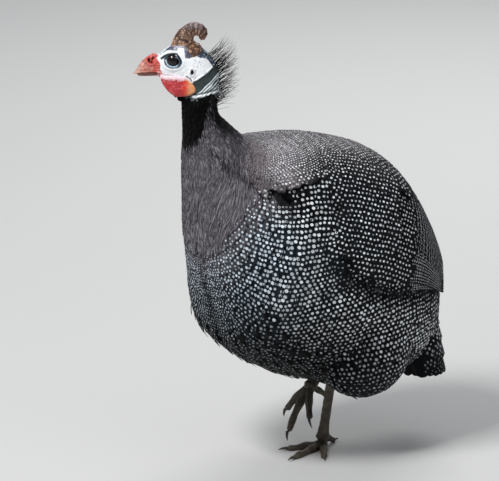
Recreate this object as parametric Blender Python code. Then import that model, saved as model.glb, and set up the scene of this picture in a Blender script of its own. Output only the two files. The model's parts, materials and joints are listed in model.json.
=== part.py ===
"""A life-size helmeted guinea fowl, standing on its left foot with the right foot lifted.

The bird faces -Y, its left side is +X and +Z is up. The origin is on the floor, under the middle
of the trunk. All sizes below are millimetres; every mesh is scaled to metres when it is made.
"""

import math
import random

import bmesh
import bpy
from mathutils import Matrix, Vector
from mathutils.bvhtree import BVHTree

MM = 0.001
GAP = 0.3

# The trunk from the tail's core to the top of the neck, as side-view stations:
# dorsal (y, z), ventral (y, z), half width.
TRUNK_STATIONS = [
    ((147, 100), (135, 66), 10),
    ((145, 128), (122, 71), 23),
    ((139.5, 160), (106, 71), 39),
    ((130.5, 198), (87, 66), 56.5),
    ((113.5, 239), (61, 64), 73),
    ((89, 278), (32, 66), 86),
    ((57, 306), (-2, 73), 93),
    ((21, 320), (-38, 85), 94),
    ((-14, 328), (-76, 102), 91),
    ((-45, 329), (-112, 131), 86),
    ((-67, 330), (-127, 176), 67),
    ((-83, 335), (-139.5, 223), 52),
    ((-95, 344), (-145, 270), 41),
    ((-108, 355.5), (-148, 310), 33),
    ((-119.5, 368), (-151, 342), 21),
    ((-121.5, 384), (-153, 366), 18),
    ((-121, 400), (-154, 388), 17),
    ((-123, 412), (-154, 406), 15),
]
TRUNK_SIDES = 28
STEPS_PER_STATION = 2
TAIL_CUT = 2.3
NECK_BASE_CUT = 10.4
NECK_CUT = 13.6
HEAD_FLOOR = 386.0

# The head, drawn in its own frame: forward along the bill, out to its left, up.
HEAD_CENTRE = Vector((-8.6, -150, 416))
HEAD_YAW = 35.0
# forward, top, bottom, half width
HEAD_STATIONS = [
    (31, 9.4, -5.5, 5.6),
    (27, 11.4, -9, 7.8),
    (20, 14.9, -14, 11.0),
    (12, 21.4, -19.5, 13.4),
    (3, 25.6, -26, 15.0),
    (-6, 25.5, -31, 15.8),
    (-14, 21.5, -35, 16.0),
    (-21, 15.5, -37, 15.2),
    (-27, 8.5, -37, 13.2),
    (-31.5, 1, -34, 10.0),
    (-34, -7, -27, 5.5),
]
EYE_FORWARD, EYE_OUT, EYE_UP, EYE_RADIUS = 10.2, 8.4, 8.7, 6.7
LID_RADIUS, LID_THICKNESS, LID_OUT = 6.7, 1.25, 12.6
EAR_FORWARD, EAR_UP, EAR_RADIUS, EAR_RIM = -7.5, -3.5, 1.9, 0.8
WATTLE_FORWARD, WATTLE_OUT, WATTLE_UP = 6.0, 13.6, -17.5
WATTLE_LENGTH, WATTLE_THICKNESS, WATTLE_DEPTH, WATTLE_TILT = 17.5, 3.4, 11.5, 16.0

# The casque's outline on the midline, front edge and back edge, with its half width.
CASQUE_STATIONS = [
    ((11.5, 18.5), (-17.5, 8), 8.8),
    ((8.3, 27), (-15.5, 15), 7.8),
    ((3.6, 33), (-12, 20.8), 6.3),
    ((-1.5, 38), (-9.9, 25.4), 5.3),
    ((-6.2, 41.4), (-9.9, 28.4), 4.9),
    ((-12, 43.2), (-11.6, 30.4), 4.8),
    ((-18.5, 40.8), (-13.8, 29.8), 4.5),
    ((-22.3, 35), (-15.6, 28), 4.0),
    ((-22.2, 29.5), (-17.4, 26.2), 2.8),
]
WART_HEIGHT = 0.55

# The bill along its length: forward, top of the culmen, bottom of the lower bill, half width.
BILL_STATIONS = [
    (24, 11.8, -9.5, 7.4),
    (30, 11.9, -9.6, 6.9),
    (35.6, 9.4, -9.8, 6.0),
    (40.2, 5.4, -9.9, 5.1),
    (44.2, 0.0, -9.6, 3.8),
    (46.8, -4.4, -9.2, 2.4),
    (48.8, -7.2, -8.6, 1.0),
]
MOUTH_ROOT_UP, MOUTH_TIP_UP = -3.6, -8.0
LOWER_BILL_SHARE, LOWER_BILL_END = 0.86, 44.6
NOSTRIL_FORWARD, NOSTRIL_OUT, NOSTRIL_UP = 32.2, 6.4, 5.6
NOSTRIL_RADII = (2.0, 1.9, 2.8)

# Each wing covers a patch of the trunk, measured in stations from the tail and in degrees
# from the midline of the back: station, upper edge, lower edge, thickness.
WING_STATIONS = [
    (10.1, 44, 58, 0.8),
    (9.4, 31, 67, 2.8),
    (8.4, 22, 78, 4.0),
    (7.2, 17, 89, 4.4),
    (6.0, 15, 91, 4.2),
    (4.9, 16, 85, 3.6),
    (4.1, 22, 77, 2.4),
    (3.6, 34, 68, 0.8),
]
WING_SINK = 5.0
# Tiers of wing feathers, upper ones last: count, root station, tip station, the angles of the
# first and last feather at the root and at the tip, width, lift over the skin.
WING_TIERS = {
    "primaries": (3, 5.4, 3.05, (80, 88), (58, 72), 22, 2.4),
    "secondaries": (8, 6.3, 3.15, (22, 88), (20, 78), 29, 4.6),
    "greater_coverts": (7, 7.9, 5.2, (24, 84), (21, 86), 27, 6.4),
    "median_coverts": (6, 9.2, 7.1, (34, 68), (26, 80), 23, 7.2),
}
VANE_THICKNESS = 1.5
VANE_SHINGLE = 9.0

# The tail hangs from the rump as a folded roof of feathers.
TAIL_ROOT, TAIL_TIP = Vector((0, 111, 128)), Vector((0, 134, 62))
TAIL_ROOT_RADII, TAIL_TIP_RADII = (36, 25), (27, 18)
# Where along the tail the core's sections lie, and how far they stand off its surface.
TAIL_CORE = [(0.16, -1.0), (0.38, -3.0), (0.52, -9.0)]
# Tiers, upper ones last: count, root and tip along the tail, half angle of the fan, width, lift.
TAIL_TIERS = {
    "tail_feathers": (9, 0.14, 1.0, 104, 22, 0.4),
    "tail_coverts": (5, 0.09, 0.62, 66, 27, 2.1),
}
TAIL_LAYER, TAIL_DROOP = 1.3, 2.6

# Wiry black feathers on the nape: count, length and thickness at the root.
NAPE_COUNT_HEAD, NAPE_COUNT_NECK = 15, 10
NAPE_LENGTH, NAPE_THICKNESS = (17, 27), 1.3

# Feathered thighs: centre, radii.
LEFT_THIGH = (Vector((48, 26, 105)), Vector((39, 49, 42)))
RIGHT_THIGH = (Vector((-46, 6, 108)), Vector((38, 50, 42)))

# Legs. A foot's frame has its origin at the root of the toes, with -Y forward.
LEFT_FOOT, LEFT_YAW, LEFT_ANKLE = Vector((3, 10, 12)), 20.0, Vector((16, 15, 97))
RIGHT_FOOT, RIGHT_YAW, RIGHT_PITCH = Vector((-28, 17, 55)), -4.0, 47.0
RIGHT_ANKLE = Vector((-37, 78, 108))
SHANK_HALF_WIDTH, SHANK_HALF_DEPTH, SHANK_SCUTES = 4.0, 4.9, 11
SCUTE_LIFT = 0.45
FOOT_STUB = 8.0
PAD_RADII = (6.6, 7.0, 6.6)
TOE_SPREAD = {"inner": 36.0, "middle": 0.0, "outer": -36.0}
TOE_LENGTH = {"inner": 37.0, "middle": 51.0, "outer": 39.0}
TOE_ROOT_RADIUS, TOE_TIP_RADIUS, TOE_SINK = 4.6, 2.9, 1.0
HIND_LENGTH, HIND_HEIGHT, HIND_RADIUS, HIND_HANG = 17.0, 7.0, 3.0, 78.0
CLAW_LENGTH, CLAW_BEND, CLAW_SHARE = 10.5, 34.0, 0.62
# How far a claw points down from its toe: on the floor, hanging, and the hind one's on the floor.
CLAW_DROOP, CLAW_DROOP_HANGING, HIND_CLAW_DROOP = -13.0, 2.0, -42.0

COLOURS = {
    "plum_grey_plumage": ((0.115, 0.108, 0.130), 0.75),
    "black_neck_plumage": ((0.012, 0.013, 0.014), 0.7),
    "spotted_plumage": ((0.055, 0.062, 0.068), 0.7),
    "pale_skin": ((0.70, 0.78, 0.84), 0.5),
    "casque_horn": ((0.28, 0.17, 0.09), 0.55),
    "bill_horn": ((0.48, 0.17, 0.12), 0.4),
    "wattle_skin": ((0.60, 0.06, 0.05), 0.4),
    "eye": ((0.012, 0.010, 0.012), 0.05),
    "leg_scales": ((0.085, 0.078, 0.055), 0.5),
    "claw_horn": ((0.045, 0.038, 0.030), 0.4),
}


# Meshes and materials

def material(name):
    found = bpy.data.materials.get(name)
    if found:
        return found
    colour, roughness = COLOURS[name]
    made = bpy.data.materials.new(name)
    made.use_nodes = True
    shader = made.node_tree.nodes["Principled BSDF"]
    shader.inputs["Base Color"].default_value = (*colour, 1)
    shader.inputs["Roughness"].default_value = roughness
    shader.inputs["Metallic"].default_value = 0
    return made


def object_from(name, bm, finish=None):
    """An object from a bmesh in millimetres, with its faces pointing out and its quads split."""
    bmesh.ops.triangulate(bm, faces=[f for f in bm.faces if len(f.verts) > 3])
    bmesh.ops.recalc_face_normals(bm, faces=bm.faces)
    if bm.calc_volume(signed=True) < 0:
        bmesh.ops.reverse_faces(bm, faces=bm.faces)
    bmesh.ops.scale(bm, vec=(MM, MM, MM), verts=bm.verts)
    mesh = bpy.data.meshes.new(name)
    bm.to_mesh(mesh)
    bm.free()
    obj = bpy.data.objects.new(name, mesh)
    bird.objects.link(obj)
    if finish:
        mesh.materials.append(material(finish))
    mesh.shade_smooth()
    mesh.set_sharp_from_angle(angle=math.radians(40))
    return obj


def loft(name, rings, finish=None):
    """A closed body through rings of points; both end rings are filled."""
    bm = bmesh.new()
    rows = [[bm.verts.new(p) for p in ring] for ring in rings]
    for low, high in zip(rows, rows[1:]):
        count = len(low)
        for i in range(count):
            j = (i + 1) % count
            bm.faces.new((low[i], low[j], high[j]))
            bm.faces.new((low[i], high[j], high[i]))
    bm.faces.new(rows[0])
    bm.faces.new(rows[-1])
    return object_from(name, bm, finish)


def ball(name, centre, radii, around=14, along=9, turn=None, finish=None):
    """An ellipsoid from a primitive sphere, turned about its centre."""
    bm = bmesh.new()
    bmesh.ops.create_uvsphere(bm, u_segments=around, v_segments=along, radius=1)
    place = Matrix.Translation(centre) @ (turn or Matrix.Identity(4)) @ Matrix.Diagonal((*radii, 1))
    bm.transform(place)
    return object_from(name, bm, finish)


def torus(name, place, major, minor, around=14, sides=4):
    rings = []
    bm = bmesh.new()
    for i in range(around):
        a = math.tau * i / around
        out = Vector((math.cos(a), math.sin(a), 0))
        rings.append([
            bm.verts.new(out * (major + minor * math.cos(b)) + Vector((0, 0, minor * math.sin(b))))
            for b in (math.tau * k / sides for k in range(sides))
        ])
    for i in range(around):
        low, high = rings[i], rings[(i + 1) % around]
        for k in range(sides):
            m = (k + 1) % sides
            bm.faces.new((low[k], low[m], high[m], high[k]))
    bm.transform(place)
    return object_from(name, bm)


def remove(obj):
    bpy.data.objects.remove(obj, do_unlink=True)


def split_faces(mesh):
    """Splits a mesh's faces into triangles, by the first way in which no two of them share more
    than an edge."""
    for way in ("BEAUTY", "EAR_CLIP"):
        bm = bmesh.new()
        bm.from_mesh(mesh)
        bmesh.ops.triangulate(bm, faces=bm.faces, ngon_method=way)
        sound = all(edge.is_manifold for edge in bm.edges)
        if sound:
            bm.to_mesh(mesh)
        bm.free()
        if sound:
            break


def apply_modifiers(obj):
    bpy.context.view_layer.update()
    evaluated = obj.evaluated_get(bpy.context.evaluated_depsgraph_get())
    mesh = bpy.data.meshes.new_from_object(evaluated)
    obj.modifiers.clear()
    obj.data = mesh
    mesh.name = obj.name
    split_faces(mesh)


def keep_largest(obj):
    """Drops every closed surface but the largest, such as a loose scrap or a sealed hollow."""
    bm = bmesh.new()
    bm.from_mesh(obj.data)
    unseen = set(bm.verts)
    groups = []
    while unseen:
        stack = [unseen.pop()]
        group = set(stack)
        while stack:
            for edge in stack.pop().link_edges:
                for other in edge.verts:
                    if other in unseen:
                        unseen.remove(other)
                        group.add(other)
                        stack.append(other)
        groups.append(group)

    def span(group):
        lows = [min(v.co[k] for v in group) for k in range(3)]
        highs = [max(v.co[k] for v in group) for k in range(3)]
        return sum(h - low for low, h in zip(lows, highs))

    groups.sort(key=span)
    for group in groups[:-1]:
        bmesh.ops.delete(bm, geom=list(group), context="VERTS")
    bm.to_mesh(obj.data)
    bm.free()


def fuse(obj, pieces):
    """Joins the pieces to obj in one Boolean union on their collection."""
    if not pieces:
        return obj
    group = bpy.data.collections.new(obj.name + "_pieces")
    bpy.context.scene.collection.children.link(group)
    for piece in pieces:
        bird.objects.unlink(piece)
        group.objects.link(piece)
    union = obj.modifiers.new("union", "BOOLEAN")
    union.operation = "UNION"
    union.operand_type = "COLLECTION"
    union.collection = group
    union.solver = "MANIFOLD"
    apply_modifiers(obj)
    for piece in pieces:
        remove(piece)
    bpy.data.collections.remove(group)
    keep_largest(obj)
    return obj


def inflated(obj, by=GAP):
    """A hidden copy of obj grown along its normals, used to cut clear of it."""
    bm = bmesh.new()
    bm.from_mesh(obj.data)
    bm.normal_update()
    moves = [(v, v.normal * v.calc_shell_factor()) for v in bm.verts]
    for v, way in moves:
        v.co += way.normalized() * min(way.length, 1.6) * by * MM
    mesh = bpy.data.meshes.new("grown_" + obj.name)
    bm.to_mesh(mesh)
    bm.free()
    grown = bpy.data.objects.new(mesh.name, mesh)
    cutters.objects.link(grown)
    grown.hide_render = True
    grown.display_type = "WIRE"
    return grown


def carve(obj, cutter, solver="MANIFOLD"):
    cut = obj.modifiers.new("cut", "BOOLEAN")
    cut.operation = "DIFFERENCE"
    cut.object = cutter
    cut.solver = solver
    apply_modifiers(obj)
    keep_largest(obj)
    return obj


def carve_clear(obj, *neighbours):
    for neighbour in neighbours:
        grown = inflated(neighbour)
        carve(obj, grown)
        remove(grown)
    return obj


def slice_off(obj, point, normal):
    """Removes what lies on the normal's side of a plane and fills the cut."""
    bm = bmesh.new()
    bm.from_mesh(obj.data)
    result = bmesh.ops.bisect_plane(
        bm, geom=bm.verts[:] + bm.edges[:] + bm.faces[:], dist=1e-7,
        plane_co=Vector(point) * MM, plane_no=normal, clear_outer=True,
    )
    rim = [e for e in result["geom_cut"] if isinstance(e, bmesh.types.BMEdge)]
    bmesh.ops.holes_fill(bm, edges=[e for e in rim if e.is_boundary], sides=0)
    bmesh.ops.triangulate(bm, faces=[f for f in bm.faces if len(f.verts) > 3])
    bm.to_mesh(obj.data)
    bm.free()
    return obj


def copy_of(obj, name, finish):
    made = bpy.data.objects.new(name, obj.data.copy())
    made.data.name = name
    made.data.materials.clear()
    made.data.materials.append(material(finish))
    bird.objects.link(made)
    return made


# Curves through stations

def flowing(values, t):
    """The value at t along a list, on a smooth curve through its members."""
    last = len(values) - 1
    t = max(0.0, min(float(last), t))
    k = min(int(t), last - 1)
    u = t - k
    p1, p2 = values[k], values[k + 1]
    p0 = values[k - 1] if k > 0 else p1 * 2 - p2
    p3 = values[k + 2] if k + 2 <= last else p2 * 2 - p1
    return 0.5 * (
        p1 * 2 + (p2 - p0) * u + (p0 * 2 - p1 * 5 + p2 * 4 - p3) * u * u
        + (p1 * 3 - p0 - p2 * 3 + p3) * u ** 3
    )


TRUNK_DORSAL = [Vector((0, *d)) for d, v, w in TRUNK_STATIONS]
TRUNK_VENTRAL = [Vector((0, *v)) for d, v, w in TRUNK_STATIONS]
TRUNK_WIDTH = [Vector((w, 0, 0)) for d, v, w in TRUNK_STATIONS]


def egg_point(dorsal, ventral, half_width, angle):
    """A point on an egg-shaped section; angle 0 is dorsal and 90 is the left side."""
    centre = dorsal.lerp(ventral, 0.52)
    a = math.radians(angle)
    end = dorsal if math.cos(a) > 0 else ventral
    return centre + (end - centre) * abs(math.cos(a)) + half_width * math.sin(a)


def trunk_point(station, angle):
    return egg_point(
        flowing(TRUNK_DORSAL, station), flowing(TRUNK_VENTRAL, station),
        flowing(TRUNK_WIDTH, station), angle,
    )


def trunk_normal(station, angle):
    along = trunk_point(station + 0.05, angle) - trunk_point(station - 0.05, angle)
    around = trunk_point(station, angle + 1) - trunk_point(station, angle - 1)
    return along.cross(around).normalized()


def trunk_axis(station):
    return flowing(TRUNK_DORSAL, station).lerp(flowing(TRUNK_VENTRAL, station), 0.5)


def trunk_plane(station):
    """A point and normal of the section plane there, with the normal towards the head."""
    across = flowing(TRUNK_DORSAL, station) - flowing(TRUNK_VENTRAL, station)
    return trunk_axis(station), Vector((1, 0, 0)).cross(across).normalized()


def cut_between(obj, low=None, high=None):
    """Keeps what lies between two trunk stations, each less half the gap."""
    if low is not None:
        point, ahead = trunk_plane(low)
        slice_off(obj, point + ahead * GAP / 2, -ahead)
    if high is not None:
        point, ahead = trunk_plane(high)
        slice_off(obj, point - ahead * GAP / 2, ahead)
    return obj


# Feathers

# How wide a vane is along its length: share of its length, share of its width.
VANE_PROFILE = [(0.0, 0.45), (0.34, 0.9), (0.66, 1.0), (0.88, 0.76), (1.0, 0.26)]
COVERT_PROFILE = [(0.0, 0.5), (0.4, 1.0), (0.84, 0.86), (1.0, 0.34)]


def vane(name, surface, width, tilt=0.0, droop=0.0, profile=VANE_PROFILE):
    """A feather vane. surface(t) gives its line's point, outward normal and direction at t."""
    thickness = VANE_THICKNESS
    rings = []
    for t, share in profile:
        point, normal, ahead = surface(t)
        side = ahead.cross(normal).normalized()
        side = Matrix.Rotation(math.radians(tilt), 3, ahead) @ side
        up = side.cross(ahead).normalized()
        half = width / 2 * share
        rings.append([
            point - side * half - up * (thickness * 0.2 + droop * share ** 2),
            point + up * thickness * 0.5,
            point + side * half - up * (thickness * 0.2 + droop * share ** 2),
            point - up * thickness * 0.7,
        ])
    return loft(name, rings)


def along_line(place):
    """A vane's surface function from place(t), which gives a point and its outward normal."""
    def surface(t):
        point, normal = place(t)
        before, after = place(t - 0.02)[0], place(t + 0.02)[0]
        return point, normal, (after - before).normalized()
    return surface


def spread(first_last, k, count):
    return first_last[0] + (first_last[1] - first_last[0]) * k / (count - 1)


def spike(name, root, lean, up, length, thickness, rng):
    """A wiry feather: a thin tapered rod that bends upwards."""
    side = lean.cross(up).normalized()
    rings = []
    for t, share in ((-0.08, 1.0), (0.35, 0.8), (0.72, 0.55), (1.0, 0.28)):
        centre = root + lean * length * t + up * length * 0.30 * max(t, 0) ** 2
        radius = thickness / 2 * share
        turn = lean.cross(side).normalized()
        rings.append([
            centre + (side * math.cos(a) + turn * math.sin(a)) * radius
            for a in (math.tau * k / 3 for k in range(3))
        ])
    return loft(name, rings)


def surface_of(obj):
    bpy.context.view_layer.update()
    bm = bmesh.new()
    bm.from_mesh(obj.data)
    tree = BVHTree.FromBMesh(bm)
    bm.free()
    return tree


# The trunk and its nodes

def build_trunk():
    count = (len(TRUNK_STATIONS) - 1) * STEPS_PER_STATION + 1
    rings = []
    for k in range(count):
        station = k / STEPS_PER_STATION
        rings.append([
            trunk_point(station, 360 * i / TRUNK_SIDES) for i in range(TRUNK_SIDES)
        ])
    return loft("trunk", rings)


def build_wing(name, side, torso):
    """A folded wing: a slab laid on the trunk with its feathers in tiers over it."""
    across = [-0.06, 0.0, 0.22, 0.5, 0.78, 1.0, 1.06]
    stations = [Vector(s[:1] + s[1:3]) for s in WING_STATIONS]
    thickness = [Vector((s[3], 0, 0)) for s in WING_STATIONS]
    count = (len(WING_STATIONS) - 1) * STEPS_PER_STATION + 1

    def lifted(station, angle, height):
        point = trunk_point(station, angle) + trunk_normal(station, angle) * height
        return Vector((point.x * side, point.y, point.z))

    rings = []
    for k in range(count):
        station, upper, lower = flowing(stations, k / STEPS_PER_STATION)
        thick = flowing(thickness, k / STEPS_PER_STATION).x
        outer = []
        inner = []
        for share in across:
            angle = upper + (lower - upper) * share
            inside = 0 <= share <= 1
            crown = max(0.0, 1 - (2 * share - 1) ** 4) * thick
            outer.append(lifted(station, angle, 0.9 + crown if inside else -1.5))
            inner.append(lifted(station, angle, -WING_SINK))
        rings.append(outer + inner[::-1])
    slab = loft(name, rings, "spotted_plumage")
    pieces = []
    for tier, (number, root, tip, root_angles, tip_angles, width, lift) in WING_TIERS.items():
        for k in range(number):
            first, last = spread(root_angles, k, number), spread(tip_angles, k, number)

            def place(t, first=first, last=last):
                station = root + (tip - root) * t
                angle = first + (last - first) * t
                sunk = lift * min(1.0, 0.25 + 1.6 * t) + 0.25 * (k % 2)
                point = lifted(station, angle, sunk)
                normal = trunk_normal(station, angle)
                return point, Vector((normal.x * side, normal.y, normal.z))

            pieces.append(vane(
                f"{name}_{tier}_{k}", along_line(place), width, tilt=-VANE_SHINGLE * side,
                profile=COVERT_PROFILE if "coverts" in tier else VANE_PROFILE,
            ))
    fuse(slab, pieces)
    return carve_clear(slab, torso)


def tail_point(t, angle, lift):
    """A point and outward normal on the folded tail; t runs from its root to its tip."""
    axis = TAIL_ROOT.lerp(TAIL_TIP, t)
    down = (TAIL_TIP - TAIL_ROOT).normalized()
    back = Vector((1, 0, 0)).cross(down).normalized()
    wide = TAIL_ROOT_RADII[0] + (TAIL_TIP_RADII[0] - TAIL_ROOT_RADII[0]) * t
    deep = TAIL_ROOT_RADII[1] + (TAIL_TIP_RADII[1] - TAIL_ROOT_RADII[1]) * t
    a = math.radians(angle)
    out = Vector((math.sin(a) / wide, 0, 0)) + back * (math.cos(a) / deep)
    normal = out.normalized()
    point = axis + Vector((math.sin(a) * wide, 0, 0)) + back * (math.cos(a) * deep)
    return point + normal * lift, normal


def build_tail():
    """The tail: a core that carries on from the trunk, and its feathers in tiers over it."""
    sides = 20
    point, ahead = trunk_plane(TAIL_CUT)
    angles = [360 * (i + 0.4) / sides for i in range(sides)]
    rings = [[trunk_point(TAIL_CUT, a) + ahead for a in angles]]
    for t, lift in TAIL_CORE:
        rings.append([tail_point(t, a, lift)[0] for a in angles])
    core = loft("tail", rings, "spotted_plumage")
    pieces = []
    for tier, (number, root, tip, fan, width, lift) in TAIL_TIERS.items():
        for k in range(number):
            angle = fan * (2 * k / (number - 1) - 1)
            shorter = 0.10 * (angle / fan) ** 2

            def place(t, k=k, angle=angle, shorter=shorter):
                end = root + (tip - shorter - root) * t
                raised = lift - TAIL_LAYER * (k % 2)
                return tail_point(end, angle * (1 - 0.12 * t), raised * min(1.0, 0.1 + 2 * t))

            pieces.append(vane(
                f"{tier}_{k}", along_line(place), width, droop=TAIL_DROOP, profile=COVERT_PROFILE,
            ))
    return cut_between(fuse(core, pieces), high=TAIL_CUT)


# The head

def head_frame():
    """From the head's forward, left and up to the bird's frame."""
    yaw = math.radians(HEAD_YAW)
    forward = Vector((-math.sin(yaw), -math.cos(yaw), 0))
    left = Vector((math.cos(yaw), -math.sin(yaw), 0))
    up = Vector((0, 0, 1))
    frame = Matrix((forward, left, up)).transposed().to_4x4()
    return Matrix.Translation(HEAD_CENTRE) @ frame


HEAD = head_frame()


def in_head(forward, left, up):
    return HEAD @ Vector((forward, left, up))


def oval_ring(forward, top, bottom, half_width, sides):
    middle, half = (top + bottom) / 2, (top - bottom) / 2
    return [
        in_head(forward, half_width * math.sin(a), middle + half * math.cos(a))
        for a in (math.tau * k / sides for k in range(sides))
    ]


def facing_out(forward, out, up, side):
    """A frame on the side of the head whose Z points out of that side."""
    return HEAD @ Matrix.Translation((forward, out * side, up)) @ Matrix.Rotation(
        -side * math.pi / 2, 4, "X")


def build_head(trunk_top):
    stations = [Vector(s) for s in HEAD_STATIONS]
    count = (len(stations) - 1) * STEPS_PER_STATION + 1
    rings = [
        oval_ring(*flowing(stations, k / STEPS_PER_STATION), 18) for k in range(count)
    ]
    head = loft("head", rings, "pale_skin")
    parts = [trunk_top]
    for side in (1, -1):
        lid = facing_out(EYE_FORWARD, LID_OUT, EYE_UP, side)
        parts.append(torus("lid", lid, LID_RADIUS, LID_THICKNESS))
        ear = facing_out(EAR_FORWARD, 15.4, EAR_UP, side)
        parts.append(torus("ear_rim", ear, EAR_RADIUS + EAR_RIM, EAR_RIM, around=8, sides=4))
    fuse(head, parts)
    slice_off(head, (0, 0, HEAD_FLOOR + GAP / 2), (0, 0, -1))
    for side in (1, -1):
        ear = ball(
            "ear", in_head(EAR_FORWARD, 16.0 * side, EAR_UP),
            (EAR_RADIUS, EAR_RADIUS, EAR_RADIUS), 8, 6,
        )
        carve(head, ear)
        remove(ear)
    return head


def build_eye(name, side):
    return ball(
        name, in_head(EYE_FORWARD, EYE_OUT * side, EYE_UP),
        (EYE_RADIUS, EYE_RADIUS, EYE_RADIUS), 14, 9, finish="eye",
    )


def build_casque(head):
    """The horny casque: a warty cone that hooks backwards."""
    front = [Vector((f[0], 0, f[1])) for f, b, w in CASQUE_STATIONS]
    back = [Vector((b[0], 0, b[1])) for f, b, w in CASQUE_STATIONS]
    width = [Vector((0, w, 0)) for f, b, w in CASQUE_STATIONS]
    rng = random.Random(5)
    rings = []
    steps = 2
    for k in range((len(front) - 1) * steps + 1):
        t = k / steps
        fore, aft, wide = flowing(front, t), flowing(back, t), flowing(width, t)
        centre = (fore + aft) / 2
        ring = []
        for i in range(12):
            a = math.tau * i / 12
            wart = 1 + WART_HEIGHT * rng.uniform(-0.4, 1) / max(wide.y, 3)
            point = centre + (fore - centre) * math.cos(a) * wart + wide * math.sin(a) * wart
            ring.append(HEAD @ point)
        rings.append(ring)
    return carve_clear(loft("casque", rings, "casque_horn"), head)


def mouth_line(forward):
    root, tip = BILL_STATIONS[0][0], BILL_STATIONS[-1][0]
    share = (forward - root) / (tip - root)
    return MOUTH_ROOT_UP + (MOUTH_TIP_UP - MOUTH_ROOT_UP) * share + 1.6 * math.sin(math.pi * share)


def half_ring(forward, edge, end, half_width, sides=11):
    """A half oval with its flat side at edge and its crown at end."""
    ring = []
    for k in range(sides):
        a = math.pi * k / (sides - 1)
        ring.append(in_head(forward, half_width * math.cos(a), edge + (end - edge) * math.sin(a)))
    return ring


def build_bill(head):
    stations = [Vector(s) for s in BILL_STATIONS]
    upper = []
    lower = []
    for k in range((len(stations) - 1) * STEPS_PER_STATION + 1):
        forward, top, bottom, half = flowing(stations, k / STEPS_PER_STATION)
        edge = mouth_line(forward)
        upper.append(half_ring(forward, edge, max(top, edge + 0.8), half))
        if forward < LOWER_BILL_END:
            lower.append(half_ring(forward, edge - GAP, bottom, half * LOWER_BILL_SHARE))
    bill_upper = loft("bill_upper", upper, "bill_horn")
    for side in (1, -1):
        hole = ball(
            "nostril", in_head(NOSTRIL_FORWARD, NOSTRIL_OUT * side, NOSTRIL_UP), NOSTRIL_RADII,
            10, 8, turn=Matrix.Rotation(math.radians(-HEAD_YAW), 4, "Z"),
        )
        carve(bill_upper, hole)
        remove(hole)
    bill_lower = loft("bill_lower", lower, "bill_horn")
    carve_clear(bill_upper, head)
    carve_clear(bill_lower, head)


def build_wattle(name, side, head):
    """A flat lobe that hangs from the corner of the mouth along the cheek."""
    bm = bmesh.new()
    bmesh.ops.create_uvsphere(bm, u_segments=18, v_segments=10, radius=1)
    for v in bm.verts:
        x, y, z = v.co
        rim = 1 + 0.35 * (x * x + z * z)
        flare = 2.2 * max(0.0, -z) ** 2
        v.co = Vector((x * WATTLE_LENGTH, y * WATTLE_THICKNESS * rim + flare, z * WATTLE_DEPTH))
        if side < 0:
            v.co.y *= -1
    tilt = Matrix.Rotation(math.radians(WATTLE_TILT) * -1, 4, "Y")
    bm.transform(HEAD @ Matrix.Translation((WATTLE_FORWARD, WATTLE_OUT * side, WATTLE_UP)) @ tilt)
    return carve_clear(object_from(name, bm, "wattle_skin"), head)


def nape_feathers(base, count, up_range, seed):
    """Wiry feathers set on the back of the nape between two heights."""
    rng = random.Random(seed)
    tree = surface_of(base)
    back = -(HEAD.to_3x3() @ Vector((1, 0, 0)))
    left = HEAD.to_3x3() @ Vector((0, 1, 0))
    made = []
    for k in range(count):
        height = up_range[0] + (up_range[1] - up_range[0]) * (k + 0.5) / count
        turn = rng.uniform(-34, 34) if k % 2 else rng.uniform(-14, 14)
        away = Matrix.Rotation(math.radians(turn), 3, "Z") @ back
        centre = in_head(-12, 0, 0)
        centre.z = height
        hit = tree.ray_cast((centre + away * 80) * MM, -away)
        root = hit[0] / MM
        lean = (away + left * rng.uniform(-0.1, 0.1) + Vector((0, 0, rng.uniform(0.2, 0.6))))
        length = rng.uniform(*NAPE_LENGTH)
        made.append(spike(
            f"{base.name}_nape_{k}", root, lean.normalized(), Vector((0, 0, 1)),
            length, NAPE_THICKNESS, rng,
        ))
    return made


# Legs and feet

def build_shank(name, root, ankle, covers):
    """The scaled shank, with a row of raised scutes down its front."""
    ahead = (ankle - root).normalized()
    side = ahead.cross(Vector((0, 1, 0))).normalized()
    front = side.cross(ahead).normalized()
    if front.y > 0:
        front = -front
    length = (ankle - root).length
    start = FOOT_STUB + GAP
    levels = []
    for k in range(SHANK_SCUTES):
        low = start + (length - start) * k / SHANK_SCUTES
        high = start + (length - start) * (k + 0.94) / SHANK_SCUTES
        levels += [(low, SCUTE_LIFT), (high, 0.0)]
    rings = []
    for level, lift in levels:
        t = level / length
        ends = 1 + 0.42 * max(0.0, 1 - t / 0.22) ** 2 + 0.5 * max(0.0, (t - 0.78) / 0.22) ** 2
        centre = root + ahead * level
        ring = []
        for i in range(12):
            a = math.tau * i / 12
            plate = lift * max(0.0, math.cos(a)) ** 0.5
            ring.append(
                centre + side * math.sin(a) * SHANK_HALF_WIDTH * ends
                + front * (math.cos(a) * SHANK_HALF_DEPTH * ends + plate)
            )
        rings.append(ring)
    return carve_clear(loft(name, rings, "leg_scales"), *covers)


def toe_line(length, curl):
    """Points and directions along a toe in its own frame: forward is -Y, and it curls down."""
    steps = 7
    point = Vector((0, 0, 0))
    line = []
    for k in range(steps + 1):
        pitch = math.radians(curl) * k / steps
        ahead = Vector((0, -math.cos(pitch), -math.sin(pitch)))
        line.append((point.copy(), ahead))
        point += ahead * length / steps
    return line


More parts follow.
